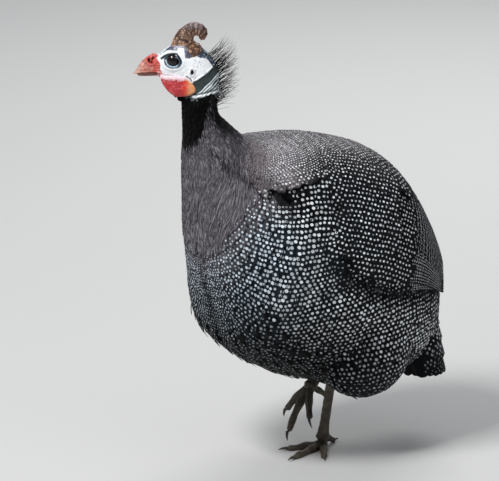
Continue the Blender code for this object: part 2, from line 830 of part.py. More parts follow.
def toe(name, frame, length, root_radius, tip_radius, curl, flat):
    """One toe as a tube with swellings at its joints. Returns it and the frame of its tip."""
    rings = []
    line = toe_line(length, curl)
    joints = 2.5 if length > 45 else 2.0
    for k, (point, ahead) in enumerate(line):
        t = k / (len(line) - 1)
        swell = 1 + 0.09 * math.cos(math.tau * joints * t)
        radius = (root_radius + (tip_radius - root_radius) * t) * swell
        up = Vector((1, 0, 0)).cross(ahead) * -1
        rise = Vector((0, 0, radius - TOE_SINK)) if flat else Vector((0, 0, 0))
        rings.append([
            frame @ (point + rise + Vector((1, 0, 0)) * math.sin(a) * radius
                     + up * math.cos(a) * radius)
            for a in (math.tau * i / 8 for i in range(8))
        ])
    rise = tip_radius - TOE_SINK if flat else 0.0
    tip_point, tip_ahead = line[-1]
    pitch = math.atan2(-tip_ahead.z, -tip_ahead.y)
    tip = frame @ Matrix.Translation(tip_point + Vector((0, 0, rise)))
    return loft(name, rings), tip @ Matrix.Rotation(-pitch, 4, "X").inverted()


def claw(name, tip, length, radius, droop):
    """A curved, pointed claw that starts just beyond the toe's end."""
    rings = []
    point = Vector((0, -GAP, 0.5))
    steps = 4
    for k in range(steps + 1):
        t = k / steps
        pitch = math.radians(CLAW_BEND * t + droop)
        ahead = Vector((0, -math.cos(pitch), -math.sin(pitch)))
        up = Vector((0, -math.sin(pitch), math.cos(pitch)))
        thick = radius * (1 - t) + 0.35 * t
        if k == 0:
            up = Vector((0, 0, 1))
        rings.append([
            tip @ (point + Vector((1, 0, 0)) * math.sin(a) * thick * 0.8 + up * math.cos(a) * thick)
            for a in (math.tau * i / 6 for i in range(6))
        ])
        point += ahead * length / steps
    return loft(name, rings, "claw_horn")


def build_foot(name, side, root, yaw, pitch, curl, ankle, standing):
    """A foot: pad, three front toes and the hind toe, with each claw a node of its own."""
    outward = -side
    frame = (
        Matrix.Translation(root) @ Matrix.Rotation(math.radians(yaw), 4, "Z")
        @ Matrix.Rotation(math.radians(pitch), 4, "X")
    )
    pad = ball(name, Vector((0, 0, 0)), PAD_RADII, 14, 8, finish="leg_scales")
    pad.data.transform(Matrix.Translation(frame.translation * MM) @ frame.to_3x3().to_4x4())
    level = -root.z if standing else 0.0
    pieces = []
    for which, angle in TOE_SPREAD.items():
        turned = frame @ Matrix.Translation((0, 0, level)) @ Matrix.Rotation(
            math.radians(angle * outward), 4, "Z")
        made, tip = toe(
            f"{name}_{which}", turned, TOE_LENGTH[which], TOE_ROOT_RADIUS, TOE_TIP_RADIUS,
            curl, standing,
        )
        pieces.append(made)
        claw(
            f"claw_{name[5:]}_{which}", tip, CLAW_LENGTH, TOE_TIP_RADIUS * CLAW_SHARE,
            CLAW_DROOP if standing else CLAW_DROOP_HANGING,
        )
    hind = frame @ Matrix.Rotation(math.pi, 4, "Z")
    drop = math.degrees(math.asin(HIND_HEIGHT / HIND_LENGTH)) if standing else HIND_HANG
    hind = hind @ Matrix.Rotation(math.radians(drop), 4, "X")
    made, tip = toe(f"{name}_hind", hind, HIND_LENGTH + 5, HIND_RADIUS * 1.2, HIND_RADIUS * 0.8,
                    6, False)
    pieces.append(made)
    claw(
        f"claw_{name[5:]}_hind", tip, CLAW_LENGTH * 0.7, HIND_RADIUS * 0.5,
        HIND_CLAW_DROOP if standing else CLAW_DROOP_HANGING,
    )
    ahead = (ankle - root).normalized()
    across = ahead.cross(Vector((0, 1, 0))).normalized()
    front = across.cross(ahead)
    stub = []
    for level_up, grow in ((0.0, 1.5), (FOOT_STUB, 1.36)):
        stub.append([
            root + ahead * level_up + across * math.sin(a) * SHANK_HALF_WIDTH * grow
            + front * math.cos(a) * SHANK_HALF_DEPTH * grow
            for a in (math.tau * i / 12 for i in range(12))
        ])
    pieces.append(loft(f"{name}_stub", stub))
    fuse(pad, pieces)
    if standing:
        slice_off(pad, (0, 0, 0), (0, 0, -1))
    return pad


def build_thigh(name, shape, torso):
    centre, radii = shape
    return carve_clear(ball(name, centre, radii, 22, 14, finish="spotted_plumage"), torso)


# Assembly

def centre_on_floor():
    """Moves every node so that the middle of the bird's whole box is over the origin, and
    marks the edges that look sharp."""
    points = [v.co for obj in bird.objects for v in obj.data.vertices]
    middle = [(min(p[k] for p in points) + max(p[k] for p in points)) / 2 for k in (0, 1)]
    low = min(p.z for p in points)
    for obj in bird.objects:
        obj.data.transform(Matrix.Translation((-middle[0], -middle[1], -low)))
        obj.data.shade_smooth()
        obj.data.set_sharp_from_angle(angle=math.radians(32))


def clear_scene():
    for obj in list(bpy.data.objects):
        bpy.data.objects.remove(obj, do_unlink=True)


clear_scene()
bird = bpy.data.collections.new("guinea_fowl")
cutters = bpy.data.collections.new("cutters")
bpy.context.scene.collection.children.link(bird)
bpy.context.scene.collection.children.link(cutters)

trunk = build_trunk()
torso = cut_between(copy_of(trunk, "torso", "spotted_plumage"), TAIL_CUT, NECK_BASE_CUT)
neck_base = cut_between(copy_of(trunk, "neck_base", "plum_grey_plumage"), NECK_BASE_CUT, NECK_CUT)
neck = cut_between(copy_of(trunk, "neck", "black_neck_plumage"), NECK_CUT, None)
slice_off(neck, (0, 0, HEAD_FLOOR - GAP / 2), (0, 0, 1))
throat = copy_of(trunk, "throat", "pale_skin")
slice_off(throat, (0, 0, HEAD_FLOOR - 8), (0, 0, -1))
remove(trunk)

head = build_head(throat)
for eye_name, eye_side in (("eye_left", 1), ("eye_right", -1)):
    carve_clear(head, build_eye(eye_name, eye_side))
casque = build_casque(head)
build_bill(head)
build_wattle("wattle_left", 1, head)
build_wattle("wattle_right", -1, head)
fuse(head, nape_feathers(head, NAPE_COUNT_HEAD, (HEAD_FLOOR + 4, HEAD_CENTRE.z + 12), 3))
fuse(neck, nape_feathers(neck, NAPE_COUNT_NECK, (HEAD_FLOOR - 27, HEAD_FLOOR - 3), 4))
cut_between(neck, low=NECK_CUT)

build_tail()
build_wing("wing_left", 1, torso)
build_wing("wing_right", -1, torso)
thigh_left = build_thigh("thigh_left", LEFT_THIGH, torso)
thigh_right = build_thigh("thigh_right", RIGHT_THIGH, torso)
build_shank("shank_left", LEFT_FOOT, LEFT_ANKLE, (torso, thigh_left))
build_shank("shank_right", RIGHT_FOOT, RIGHT_ANKLE, (torso, thigh_right))
build_foot("foot_left", 1, LEFT_FOOT, LEFT_YAW, 0.0, 0.0, LEFT_ANKLE, True)
build_foot("foot_right", -1, RIGHT_FOOT, RIGHT_YAW, RIGHT_PITCH, 26.0, RIGHT_ANKLE, False)
centre_on_floor()
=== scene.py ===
"""A life-size helmeted guinea fowl, as a museum shows one: standing on its left foot, the right
foot lifted, its head turned in profile. The plumage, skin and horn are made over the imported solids."""

import json
import math

import bmesh
import bpy
import numpy as np
from mathutils import Matrix, Vector, noise
from mathutils.bvhtree import BVHTree

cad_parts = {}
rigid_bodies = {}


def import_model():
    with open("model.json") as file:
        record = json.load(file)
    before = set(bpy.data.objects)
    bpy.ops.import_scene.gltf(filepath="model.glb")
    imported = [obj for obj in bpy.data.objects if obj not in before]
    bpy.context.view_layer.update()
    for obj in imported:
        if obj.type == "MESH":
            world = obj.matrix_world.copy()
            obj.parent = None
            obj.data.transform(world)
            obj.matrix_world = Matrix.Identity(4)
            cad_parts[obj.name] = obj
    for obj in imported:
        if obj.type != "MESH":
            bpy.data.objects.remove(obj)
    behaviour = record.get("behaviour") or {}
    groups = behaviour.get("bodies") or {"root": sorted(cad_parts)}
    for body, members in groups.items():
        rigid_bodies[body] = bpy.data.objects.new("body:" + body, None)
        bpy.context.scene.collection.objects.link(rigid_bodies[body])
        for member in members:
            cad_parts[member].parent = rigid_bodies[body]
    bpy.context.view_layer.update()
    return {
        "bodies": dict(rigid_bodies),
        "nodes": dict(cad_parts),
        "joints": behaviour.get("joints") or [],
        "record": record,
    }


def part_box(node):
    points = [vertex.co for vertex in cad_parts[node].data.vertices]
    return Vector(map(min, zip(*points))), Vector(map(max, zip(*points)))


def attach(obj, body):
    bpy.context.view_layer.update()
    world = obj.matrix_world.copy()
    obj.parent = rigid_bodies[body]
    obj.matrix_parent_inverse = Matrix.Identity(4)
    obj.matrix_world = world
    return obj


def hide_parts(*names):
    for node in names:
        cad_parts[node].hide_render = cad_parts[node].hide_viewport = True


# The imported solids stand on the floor, with the middle of their box over the origin. Below,
# lengths are millimetres in the bird's own frame, where it faces -Y and its left side is +X.
# That frame's place is read off the left eye, whose centre is known in both.
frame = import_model()
HEAD_CENTRE, HEAD_YAW = (-8.6, -150.0, 416.0), math.radians(35)
HEAD_AXES = np.array([
    (-math.sin(HEAD_YAW), -math.cos(HEAD_YAW), 0), (math.cos(HEAD_YAW), -math.sin(HEAD_YAW), 0),
    (0, 0, 1),
])
EYE = (10.2, 8.4, 8.7)
SHIFT = np.zeros(3)


def in_head(places):
    """From forward, left and up in the head to the bird's frame."""
    return np.asarray(places, float) @ HEAD_AXES + HEAD_CENTRE


def settled(points):
    """From millimetres in the bird's frame to metres on the floor."""
    return np.asarray(points, float) * 0.001 + SHIFT


def measured(points):
    """From metres on the floor back to millimetres in the bird's frame."""
    return (np.asarray(points) - SHIFT) * 1000


eye_low, eye_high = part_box("eye_left")
SHIFT = np.array((eye_low + eye_high) / 2) - settled(in_head(EYE))

# The skin is one sheet of bare or feathered flesh from the crown to the ankles. Under the plumage
# it lies in by the coat's depth; on the head it is bare, with lids, folds and the striped nape.
# The trunk is measured as side-view stations from the tail to the top of the neck. What grows on
# it is placed by station and by its angle round the body, 0 at the back and 90 at the left side.
TRUNK = np.array([  # dorsal y, z, ventral y, z, half width
    (147, 100, 135, 66, 10), (145, 128, 122, 71, 23), (139.5, 160, 106, 71, 39),
    (130.5, 198, 87, 66, 56.5), (113.5, 239, 61, 64, 73), (89, 278, 32, 66, 86),
    (57, 306, -2, 73, 93), (21, 320, -38, 85, 94), (-14, 328, -76, 102, 91),
    (-45, 329, -112, 131, 86), (-67, 330, -127, 176, 67), (-83, 335, -139.5, 223, 52),
    (-95, 344, -145, 270, 41), (-108, 355.5, -148, 310, 33), (-119.5, 368, -151, 342, 21),
    (-121.5, 384, -153, 366, 18), (-121, 400, -154, 388, 17), (-123, 412, -154, 406, 15),
], float)


def flowing(values, t):
    """Rows of values at t, on a smooth curve through them; t may be any array."""
    values = np.asarray(values, float)
    last = len(values) - 1
    t = np.clip(np.asarray(t, float), 0, last)
    k = np.minimum(t.astype(int), last - 1)
    u = (t - k)[..., None]
    ends = np.vstack([2 * values[:1] - values[1:2], values, 2 * values[-1:] - values[-2:-1]])
    p0, p1, p2, p3 = (ends[k + i] for i in range(4))
    return 0.5 * (2 * p1 + (p2 - p0) * u + (2 * p0 - 5 * p1 + 4 * p2 - p3) * u * u
                  + (3 * p1 - p0 - 3 * p2 + p3) * u ** 3)


def trunk(station, angle):
    """Points on the trunk, from arrays of stations and angles in degrees."""
    station, angle = np.broadcast_arrays(np.asarray(station, float), np.radians(angle))
    row = flowing(TRUNK, station)
    dorsal, ventral = row[..., 0:2], row[..., 2:4]
    centre = dorsal * 0.48 + ventral * 0.52
    up = np.cos(angle)[..., None]
    side = centre + (np.where(up > 0, dorsal, ventral) - centre) * abs(up)
    return np.concatenate([(row[..., 4] * np.sin(angle))[..., None], side], -1)


def bare_trunk(a, b):
    return trunk(-a, b)


def lie_of(surface, a, b):
    """Points, outward normals and the lengths of a step in a and in b on a surface.
    a runs the way that the feathers lie and b round the body."""
    nudge = 0.02
    along = (surface(a + nudge, b) - surface(a - nudge, b)) / (2 * nudge)
    around = surface(a, b + 0.5) - surface(a, b - 0.5)
    normal = np.cross(around, along)
    normal /= np.linalg.norm(normal, axis=-1, keepdims=True) + 1e-12
    return surface(a, b), normal, np.linalg.norm(along, axis=-1), np.linalg.norm(around, axis=-1)


def ramp(x, low, high):
    """0 at low and 1 at high, smooth between; low may be the larger."""
    t = np.clip((np.asarray(x, float) - low) / (high - low), 0, 1)
    return t * t * (3 - 2 * t)


def ridge(x, middle, width):
    """1 where x is middle, falling away to 0 over a few widths on either side."""
    return np.exp(-((x - middle) / width) ** 2)


def mixed(share, one, other):
    """Rows of one where share is 0 and of other where it is 1."""
    return (1 - share)[:, None] * one + share[:, None] * other


def grid_quads(rows, columns, around=False):
    """The quads of a grid of points; around joins its last column to its first."""
    r, c = np.meshgrid(np.arange(rows - 1), np.arange(columns - (not around)), indexing="ij")
    right = (c + 1) % columns
    quads = np.stack([r * columns + c, r * columns + right, (r + 1) * columns + right,
                      (r + 1) * columns + c], -1)
    return quads.reshape(-1, 4)


def placed(name, data):
    """A new object in the scene."""
    piece = bpy.data.objects.new(name, data)
    bpy.context.scene.collection.objects.link(piece)
    return piece


def closed_mesh(name, points, faces):
    """A mesh whose faces all look outwards."""
    mesh = bpy.data.meshes.new(name)
    mesh.from_pydata(points.tolist(), [], faces)
    fix = bmesh.new()
    fix.from_mesh(mesh)
    bmesh.ops.recalc_face_normals(fix, faces=fix.faces)
    fix.to_mesh(mesh)
    fix.free()
    return mesh


def applied(piece):
    """A new mesh of the piece with its modifiers applied, and the points in it."""
    bpy.context.view_layer.update()
    depsgraph = bpy.context.evaluated_depsgraph_get()
    mesh = bpy.data.meshes.new_from_object(piece.evaluated_get(depsgraph))
    co = np.zeros(len(mesh.vertices) * 3, np.float32)
    mesh.vertices.foreach_get("co", co)
    return mesh, co.reshape(-1, 3)


def coloured(mesh, colours):
    """Gives each point of a mesh its own colour."""
    rgba = np.ones((len(mesh.vertices), 4), np.float32)
    rgba[:, :3] = colours
    layer = mesh.color_attributes.new("plume", "FLOAT_COLOR", "POINT")
    layer.data.foreach_set("color", rgba.ravel())


HEAD = np.array([  # forward, top, bottom, half width
    (30.5, 8.0, -4.5, 3.6), (28.5, 9.6, -6.5, 5.4), (25, 11.8, -9.6, 7.8), (20, 14.9, -14, 11.0),
    (12, 21.4, -19.5, 13.4), (3, 25.6, -26, 15.0), (-6, 25.5, -31, 15.8), (-14, 21.5, -35, 16.0),
    (-21, 15.5, -37, 15.2), (-27, 8.5, -37, 13.2), (-31.5, 1, -34, 10.0), (-34, -7, -27, 5.5)], float)
COAT_DEPTH = 3.6


def closed_loft(rings):
    """Points and faces of a closed body through rings of points."""
    rows, columns = rings.shape[:2]
    faces = grid_quads(rows, columns, around=True).tolist()
    faces.append(list(range(columns))[::-1])
    faces.append([(rows - 1) * columns + k for k in range(columns)])
    return rings.reshape(-1, 3), faces


def moulded(bodies, voxel, rounds):
    """One closed surface over overlapping bodies, as points and four-sided faces."""
    points, faces, start = [], [], 0
    for body_points, body_faces in bodies:
        points.append(body_points)
        faces += [[v + start for v in face] for face in body_faces]
        start += len(body_points)
    mould = placed("mould", closed_mesh("mould", np.concatenate(points), faces))
    remesh = mould.modifiers.new("remesh", "REMESH")
    remesh.mode, remesh.voxel_size = "VOXEL", voxel
    soften = mould.modifiers.new("soften", "SMOOTH")
    soften.factor, soften.iterations = 0.5, rounds
    made, co = applied(mould)
    corners = np.zeros(len(made.polygons) * 4, np.int32)
    made.polygons.foreach_get("vertices", corners)
    bpy.data.objects.remove(mould)
    return co.astype(float), corners.reshape(-1, 4)


def normals_of(points, quads):
    """Smooth outward normals at the points of a closed surface."""
    first, second = points[quads[:, 2]] - points[quads[:, 0]], points[quads[:, 3]] - points[quads[:, 1]]
    total = np.zeros_like(points)
    for k in range(4):
        np.add.at(total, quads[:, k], np.cross(first, second))
    return total / (np.linalg.norm(total, axis=1, keepdims=True) + 1e-9)


def on_head(points):
    """Forward, out to either side and up in the head, and which side a point is on."""
    local = (points - HEAD_CENTRE) @ HEAD_AXES.T
    return local[:, 0], abs(local[:, 1]), local[:, 2], np.sign(local[:, 1])


def line_gap(x, y, corners):
    """The distance to a line of several stretches."""
    best = np.full(x.shape, 1e9)
    for (ax, ay), (bx, by) in zip(corners, corners[1:]):
        along = (x - ax) * (bx - ax) + (y - ay) * (by - ay)
        t = np.clip(along / ((bx - ax) ** 2 + (by - ay) ** 2), 0, 1)
        best = np.minimum(best, np.hypot(x - ax - t * (bx - ax), y - ay - t * (by - ay)))
    return best


def speckle(points, scale, seed=0.0):
    """A smooth random value from -1 to 1 at each point; scale is the grain in millimetres."""
    return np.array([noise.noise(Vector(p / scale) + Vector((seed, seed, seed))) for p in points])


# Lines drawn on the side of the head, as forward and up.
BROW = [(26, 9.6), (18.7, 14.2), (14.3, 16.2), (6.4, 16.9)]
LID_CREASE = [(21.8, 9.2), (18.8, 11.8), (15.2, 13.8), (10.4, 14.8), (6.4, 14.8), (4.2, 12.0), (2.6, 9.2),
              (2.2, 6.4)]
EAR = (-8.5, -2.8)
EAR_FOLD = [(-3.3, -7.1), (-6.9, -9.9), (-8.5, -13.1)]
EAR_LIP = [(-11.4, -6.9), (-9.4, -9.6), (-8.9, -13.2)]
CHEEK_END = [(-7.5, -14.5), (-9.2, -12.6), (-15, -9.3), (-22.8, -3.9), (-28.7, 0.8), (-36, 6)]
BAND_END = [(-9, -27.5), (-12, -25), (-17.4, -19.6), (-22.6, -14.0), (-27.6, -9.6), (-36, -3)]
COLLAR = [(-7, -27.8), (-9.7, -27.4), (-20, -25.7), (-30.7, -24), (-36, -23)]
CROWN = [(27, 13.5), (21, 15.4), (14, 17.3), (6.2, 17.9), (5.3, 20.2), (-0.4, 20.2), (-1.6, 11.2),
         (-5.4, 10.6), (-9.5, 12.2), (-13, 12.6), (-16.7, 10.8), (-22.8, 9.4), (-28.2, 1.5), (-33, -7)]
GAPE = [(35, -2.6), (28, -4.2), (24, -6.0), (20.5, -9.0)]
HORN_SKIRT = [(12, 20.5), (7, 22.5), (0, 22.3), (-3.6, 20.5), (-6.0, 16.0), (-9.6, 11.8), (-13.0, 13.8),
              (-17.5, 15.5), (-17, 30), (12, 34)]
RED_EDGE = (-9, -6.2, 0.3, 3, 6.4, 9, 13.7), (19.0, 20.1, 23.2, 22.7, 23.6, 26.7, 26.0)


def beyond(x, y, line):
    """How far points lie below a line that runs backwards, in millimetres."""
    xs, ys = zip(*line[::-1])
    return np.interp(x, xs, ys) - y


def within(x, y, corners):
    """How far inside a closed outline points lie, less than 0 outside."""
    inside = np.zeros(x.shape, bool)
    for (ax, ay), (bx, by) in zip(corners, corners[1:] + corners[:1]):
        inside ^= ((ay > y) != (by > y)) & (x < (bx - ax) * (y - ay) / ((by - ay) or 1e-9) + ax)
    gap = line_gap(x, y, corners + corners[:1])
    return np.where(inside, gap, -gap)


def eye_ring(f, u):
    """Distance from the eye's middle, drawn out to the lids' oval."""
    over = u - EYE[2] + 1.2
    return np.hypot((f - EYE[0]) / 1.13, over / np.where(u > EYE[2] - 1.2, 0.78, 0.92))


def ear_ring(f, u):
    """Distance from the middle of the ear's opening, drawn out to its oval."""
    return np.hypot((f - EAR[0]) / 0.62, u - EAR[1])


def knobs(points, size, seed=0.0):
    """0 in the creases and 1 on the crowns of knobs about size millimetres across."""
    made = []
    for p in points.reshape(-1, 3):
        spread, _ = noise.voronoi(Vector(p / size) + Vector((seed, 0, seed)))
        made.append(min(1.0, (spread[1] - spread[0]) * 1.9))
    return np.array(made).reshape(points.shape[:-1])


def head_relief(points, normals):
    """Lids, brow, ear, folds, wrinkles and the casque's warty foot raised in the bare skin."""
    f, l, u, _ = on_head(points)
    on_side = ramp(l, 4, 8) * ramp(abs(normals @ HEAD_AXES.T[:, 1]), 0.2, 0.5)
    eye, ear = eye_ring(f, u), ear_ring(f, u)
    brow, crease, fold, lip, gape = (
        line_gap(f, u, line) for line in (BROW, LID_CREASE, EAR_FOLD, EAR_LIP, GAPE))
    move = -4.5 * (1 - ramp(eye, 4.3, 5.3)) * on_side
    move += 0.9 * ridge(eye, 5.8, 0.6) * (1 + 0.9 * ramp(u, 8, 11)) * on_side
    move += -0.6 * ridge(eye, 6.9, 0.5) * on_side
    move += 0.4 * ridge(eye, 8.6, 0.7) * ramp(u, 9, 3) * on_side
    move += 0.7 * ramp(eye, 12, 9) * ramp(eye, 6, 7.5) * on_side
    move += 1.1 * ridge(brow, 0, 1.3) * ramp(l, 3, 6)
    move += -0.95 * ridge(crease, 0, 0.75) * on_side
    move += (-3.2 * (1 - ramp(ear, 1.5, 2.6)) + 0.8 * ridge(ear, 3.7, 0.9)) * on_side
    move += (-0.9 * ridge(fold, 0, 0.6) + 0.5 * ridge(fold, 1.6, 0.7)) * on_side
    move += 0.8 * ridge(lip, 0, 0.7) * on_side
    cheek = beyond(f, u, CHEEK_END)
    back = ramp(f, -5, -9)
    move += (0.9 * ridge(cheek, -0.9, 0.9) - 0.7 * ridge(cheek, 0.9, 0.9)) * back
    move += 0.34 * stripes(f, u) * ramp(beyond(f, u, BAND_END), -1, 1) * back
    move += 0.7 * ridge(beyond(f, u, COLLAR), 0, 1.2) * back
    skirt = ramp(within(f, u, HORN_SKIRT), -0.4, 0.8)
    move += skirt * (0.5 + 0.9 * knobs(points, 3.0, 4.0))
    red = ramp(f - np.interp(u, *RED_EDGE), -0.6, 0.6)
    wrinkle = np.sin(u * 2.6 + speckle(points, 3.0, 5.0) * 2.5)
    move += red * (0.5 + 0.4 * wrinkle) * ramp(l, 2, 5)
    move += 0.8 * ridge(gape, 1.0, 0.8) * on_side
    grain = speckle(points, 2.6) * 0.26 + speckle(points, 1.1, 7.0) * 0.16
    return points + normals * (move + grain * ramp(u, -40, -30))[:, None]


def stripes(f, u):
    """1 on the nape's pale streaks, -1 between: ragged lines that run up and back."""
    across = 0.66 * f + 0.75 * u + 0.006 * (u + 10) * (f + 15)
    drawn = speckle(np.stack([across * 0.8, (0.75 * f - 0.66 * u) * 0.16, 0 * f], -1), 1.5, 4.0)
    return np.clip(1.2 * np.sin(across * 2.7 + 2.6 * drawn) + 0.8 * drawn, -1, 1)


def head_colour(points):
    """The bare head's white, grey, navy and blue-striped skin, from where each point lies."""
    f, l, u, side = on_head(points)
    rough, fine = speckle(points, 4.0, 3.0), speckle(points, 1.4, 9.0)
    colour = np.array((0.95, 0.98, 1.0)) * (1 - 0.16 * ramp(fine, 0.1, 0.6))[:, None]

    def lay(share, tint):
        nonlocal colour
        colour = mixed(np.clip(share, 0, 1), colour, np.asarray(tint))

    eye = eye_ring(f, u)
    blotch = ramp(speckle(points, 2.2, 21.0), 0.15, 0.5)
    lay(blotch * ramp(eye, 14, 9) * ramp(u, 9, 4) * 0.35, (0.42, 0.60, 0.74))
    lay(ramp(fine + rough * 0.5, 0.45, 0.62) * ramp(f, -8, -16) * 0.75, (0.07, 0.12, 0.18))
    crown = ramp(-beyond(f, u + 0.5 * rough, CROWN), -0.3, 0.7)
    lay(crown, (0.070, 0.066, 0.100))
    lay(crown * ramp(rough + fine * 0.8, -0.2, 0.2) * ramp(f, -4, 1) * 0.85, (0.40, 0.40, 0.50))
    lay(crown * ramp(rough + fine * 0.9, 0.05, 0.4) * ramp(f, 0, -3) * 0.6, (0.30, 0.27, 0.31))
    lay(crown * ramp(f + 0.5 * fine, -13, -17), (0.020, 0.032, 0.052))
    lay(crown * ramp(f, -16, -20) * ramp(fine + 0.4 * rough, 0.25, 0.5) * 0.8, (0.35, 0.47, 0.60))
    beside_ridge = ramp(f, 12, 15) * ramp(f, 28, 25) * ramp(l, 6.6, 5.4) * ramp(l, 2.0, 3.0)
    lay(beside_ridge * ramp(fine, -0.6, 0.1), (0.012, 0.050, 0.060))
    lay(ramp(f, 11, 14) * ramp(l, 2.6, 1.6), (0.62, 0.76, 0.84))
    near = ramp(line_gap(f, u, LID_CREASE) + 0.25 * rough, 1.3, 0.5)
    above = ramp(u, 7.5, 10.5) * ramp(f, 1.5, 3.5)
    lay(ramp(eye, 9.5, 8.0) * above * ramp(f, 9, 13) * (1 - ramp(u, 14, 16)), (0.020, 0.100, 0.115))
    lay(ramp(eye, 8.4, 7.2) * above * 0.92, (0.026, 0.052, 0.075))
    lay(near, (0.005, 0.016, 0.022))
    lay(ramp(line_gap(f, u, BROW) + 0.3 * rough, 1.35, 0.7) * ramp(l, 4.0, 5.5), (0.90, 0.98, 1.0))
    rim = ramp(eye, 6.6, 6.1)
    lay(rim, (0.50, 0.66, 0.78))
    lay(rim * np.maximum(ramp(u, 8.0, 9.8), ramp(f, 6.5, 4.5)), (0.040, 0.070, 0.100))
    lay(ramp(abs(eye - 7.1), 1.0, 0.5) * ramp(u, 11, 8.5) * ramp(fine, -0.5, 0.0), (0.024, 0.045, 0.07))
    lay(ramp(eye, 5.3, 4.9), (0.006, 0.006, 0.008))
    ear = ear_ring(f, u)
    lay(ramp(abs(ear - 3.7), 1.2, 0.4) * 0.45, (0.50, 0.40, 0.47))
    # The ear's opening is painted near black as the shade in its depth.
    lay(ramp(ear, 2.9, 2.1), (0.02, 0.015, 0.02))
    lay(ramp(line_gap(f, u, EAR_FOLD), 0.9, 0.3) * 0.8, (0.20, 0.10, 0.16))
    cheek, band = beyond(f, u, CHEEK_END), beyond(f, u, BAND_END)
    back = ramp(f, -5.5, -8.5)
    ragged = 0.7 * speckle(np.stack([f * 0.3 + u * 0.35, (f * 0.7 - u) * 1.6, side], -1), 1.6, 2.0)
    lay(ramp(cheek + ragged * ramp(f, -14, -24) + 0.3 * fine, -0.2, 0.5) * back, (0.030, 0.042, 0.040))
    lay(ramp(cheek, 3.0, 8) * back * (0.25 + 0.3 * rough), (0.085, 0.115, 0.108))
    streak, banded = stripes(f, u), ramp(band, 0.1, 0.8) * back
    lay(banded * ramp(streak, -0.5, -0.1), (0.42, 0.58, 0.70))
    lay(banded * ramp(streak + 0.3 * fine, -0.1, 0.3), (0.92, 1.0, 1.0))
    lay(banded * ramp(streak, -0.3, -0.7), (0.030, 0.050, 0.070))
    collar = beyond(f, u, COLLAR)
    lay(ramp(collar + 0.8 * rough, -3.6, -2.4) * back * 0.85, (0.016, 0.018, 0.022))
    lay(ramp(abs(collar + 0.6 * fine), 1.7, 0.9) * ramp(f, -7, -9), (0.92, 1.0, 1.0))
    lay(ramp(line_gap(f, u, EAR_LIP), 1.1, 0.5), (0.84, 0.86, 0.88))
    throat = ramp(u, -24.5, -27.5) * ramp(f, -9, -6)
    lay(throat, (0.012, 0.010, 0.011))
    red = ramp(u + 0.6 * rough - 0.06 * f, -7.5, -10.0) * ramp(f, -6, 0)
    lay(red * (1 - throat), (0.52, 0.06, 0.06))
    cere = ramp(f - np.interp(u, *RED_EDGE) + 0.7 * rough, -0.35, 0.5)
    lay(cere, (0.58, 0.10, 0.08))
    lay(cere * ramp(u + rough, 1, -4) * 0.75, (0.72, 0.33, 0.30))
    gape = line_gap(f, u, GAPE)
    lay(ramp(gape + 0.4 * rough, 2.4, 1.2), (0.76, 0.38, 0.36))
    # A dark line along the mouth's corner: painted shade in the gap.
    lay(ramp(gape + 0.3 * rough, 0.6, 0.2) * ramp(f, 19, 21), (0.16, 0.03, 0.03))
    skirt = ramp(within(f, u, HORN_SKIRT) + 0.5 * rough, -0.3, 0.5)
    lay(skirt, (0.075, 0.032, 0.020))
    lay(skirt * ramp(knobs(points, 3.0, 4.0) + 0.3 * rough, 0.15, 0.7), (0.46, 0.25, 0.13))
    return colour


def side_rings(stations, sides, steps):
    """Rings of points in the head through side-view stations."""
    f, top, bottom, half = flowing(stations, np.linspace(0, len(stations) - 1, steps)).T[..., None]
    turn = np.arange(sides) * math.tau / sides
    middle, rise = (top + bottom) / 2, (top - bottom) / 2
    return in_head(np.stack([np.repeat(f, sides, 1), half * np.sin(turn), middle + rise * np.cos(turn)], -1))


def sunk_trunk(first, last, step, depth):
    """Rings of the trunk under its plumage; depth gives how far in they lie at each station."""
    stations = np.arange(first, last, step)
    point, normal, _, _ = lie_of(bare_trunk, -stations[:, None], np.arange(0, 360, 6.0)[None])
    return point - normal * depth(stations)[:, None, None]


# The feathered thighs: the middle of each and its half sizes.
THIGHS = {"thigh_left": ((48, 26, 105), (39, 49, 42)), "thigh_right": ((-46, 6, 108), (38, 50, 42))}


def thigh_surface(centre, radii):
    """a runs from 0 at the top to 1 at the bottom of the thigh, b round it."""
    def surface(a, b):
        a, b = np.broadcast_arrays(np.asarray(a, float) * math.pi, -np.radians(b))
        return np.stack([
            centre[0] + radii[0] * np.sin(a) * np.cos(b), centre[1] + radii[1] * np.sin(a) * np.sin(b),
            centre[2] + radii[2] * np.cos(a)], -1)
    return surface


HEAD_VOXEL, TRUNK_VOXEL = 0.5, 3.0
column = sunk_trunk(14.6, 17.01, 0.12, lambda s: 1.7 * (1 - ramp(s, 15.3, 16.2)))
top_parts = [closed_loft(side_rings(HEAD, 60, 80)), closed_loft(column)]
skin_top, top_quads = moulded(top_parts, HEAD_VOXEL, rounds=3)
skin_top = head_relief(skin_top, normals_of(skin_top, top_quads))
low_parts = [closed_loft(sunk_trunk(1.2, 15.2, 0.25, lambda s: COAT_DEPTH - 1.7 * ramp(s, 10, 13.5)))]
for centre, radii in THIGHS.values():
    a, b = np.linspace(0.04, 0.96, 24), np.arange(0, 360, 12.0)
    thinner = tuple(r - COAT_DEPTH for r in radii)
    low_parts.append(closed_loft(thigh_surface(centre, thinner)(a[:, None], b[None])))
skin_low, low_quads = moulded(low_parts, TRUNK_VOXEL, rounds=2)


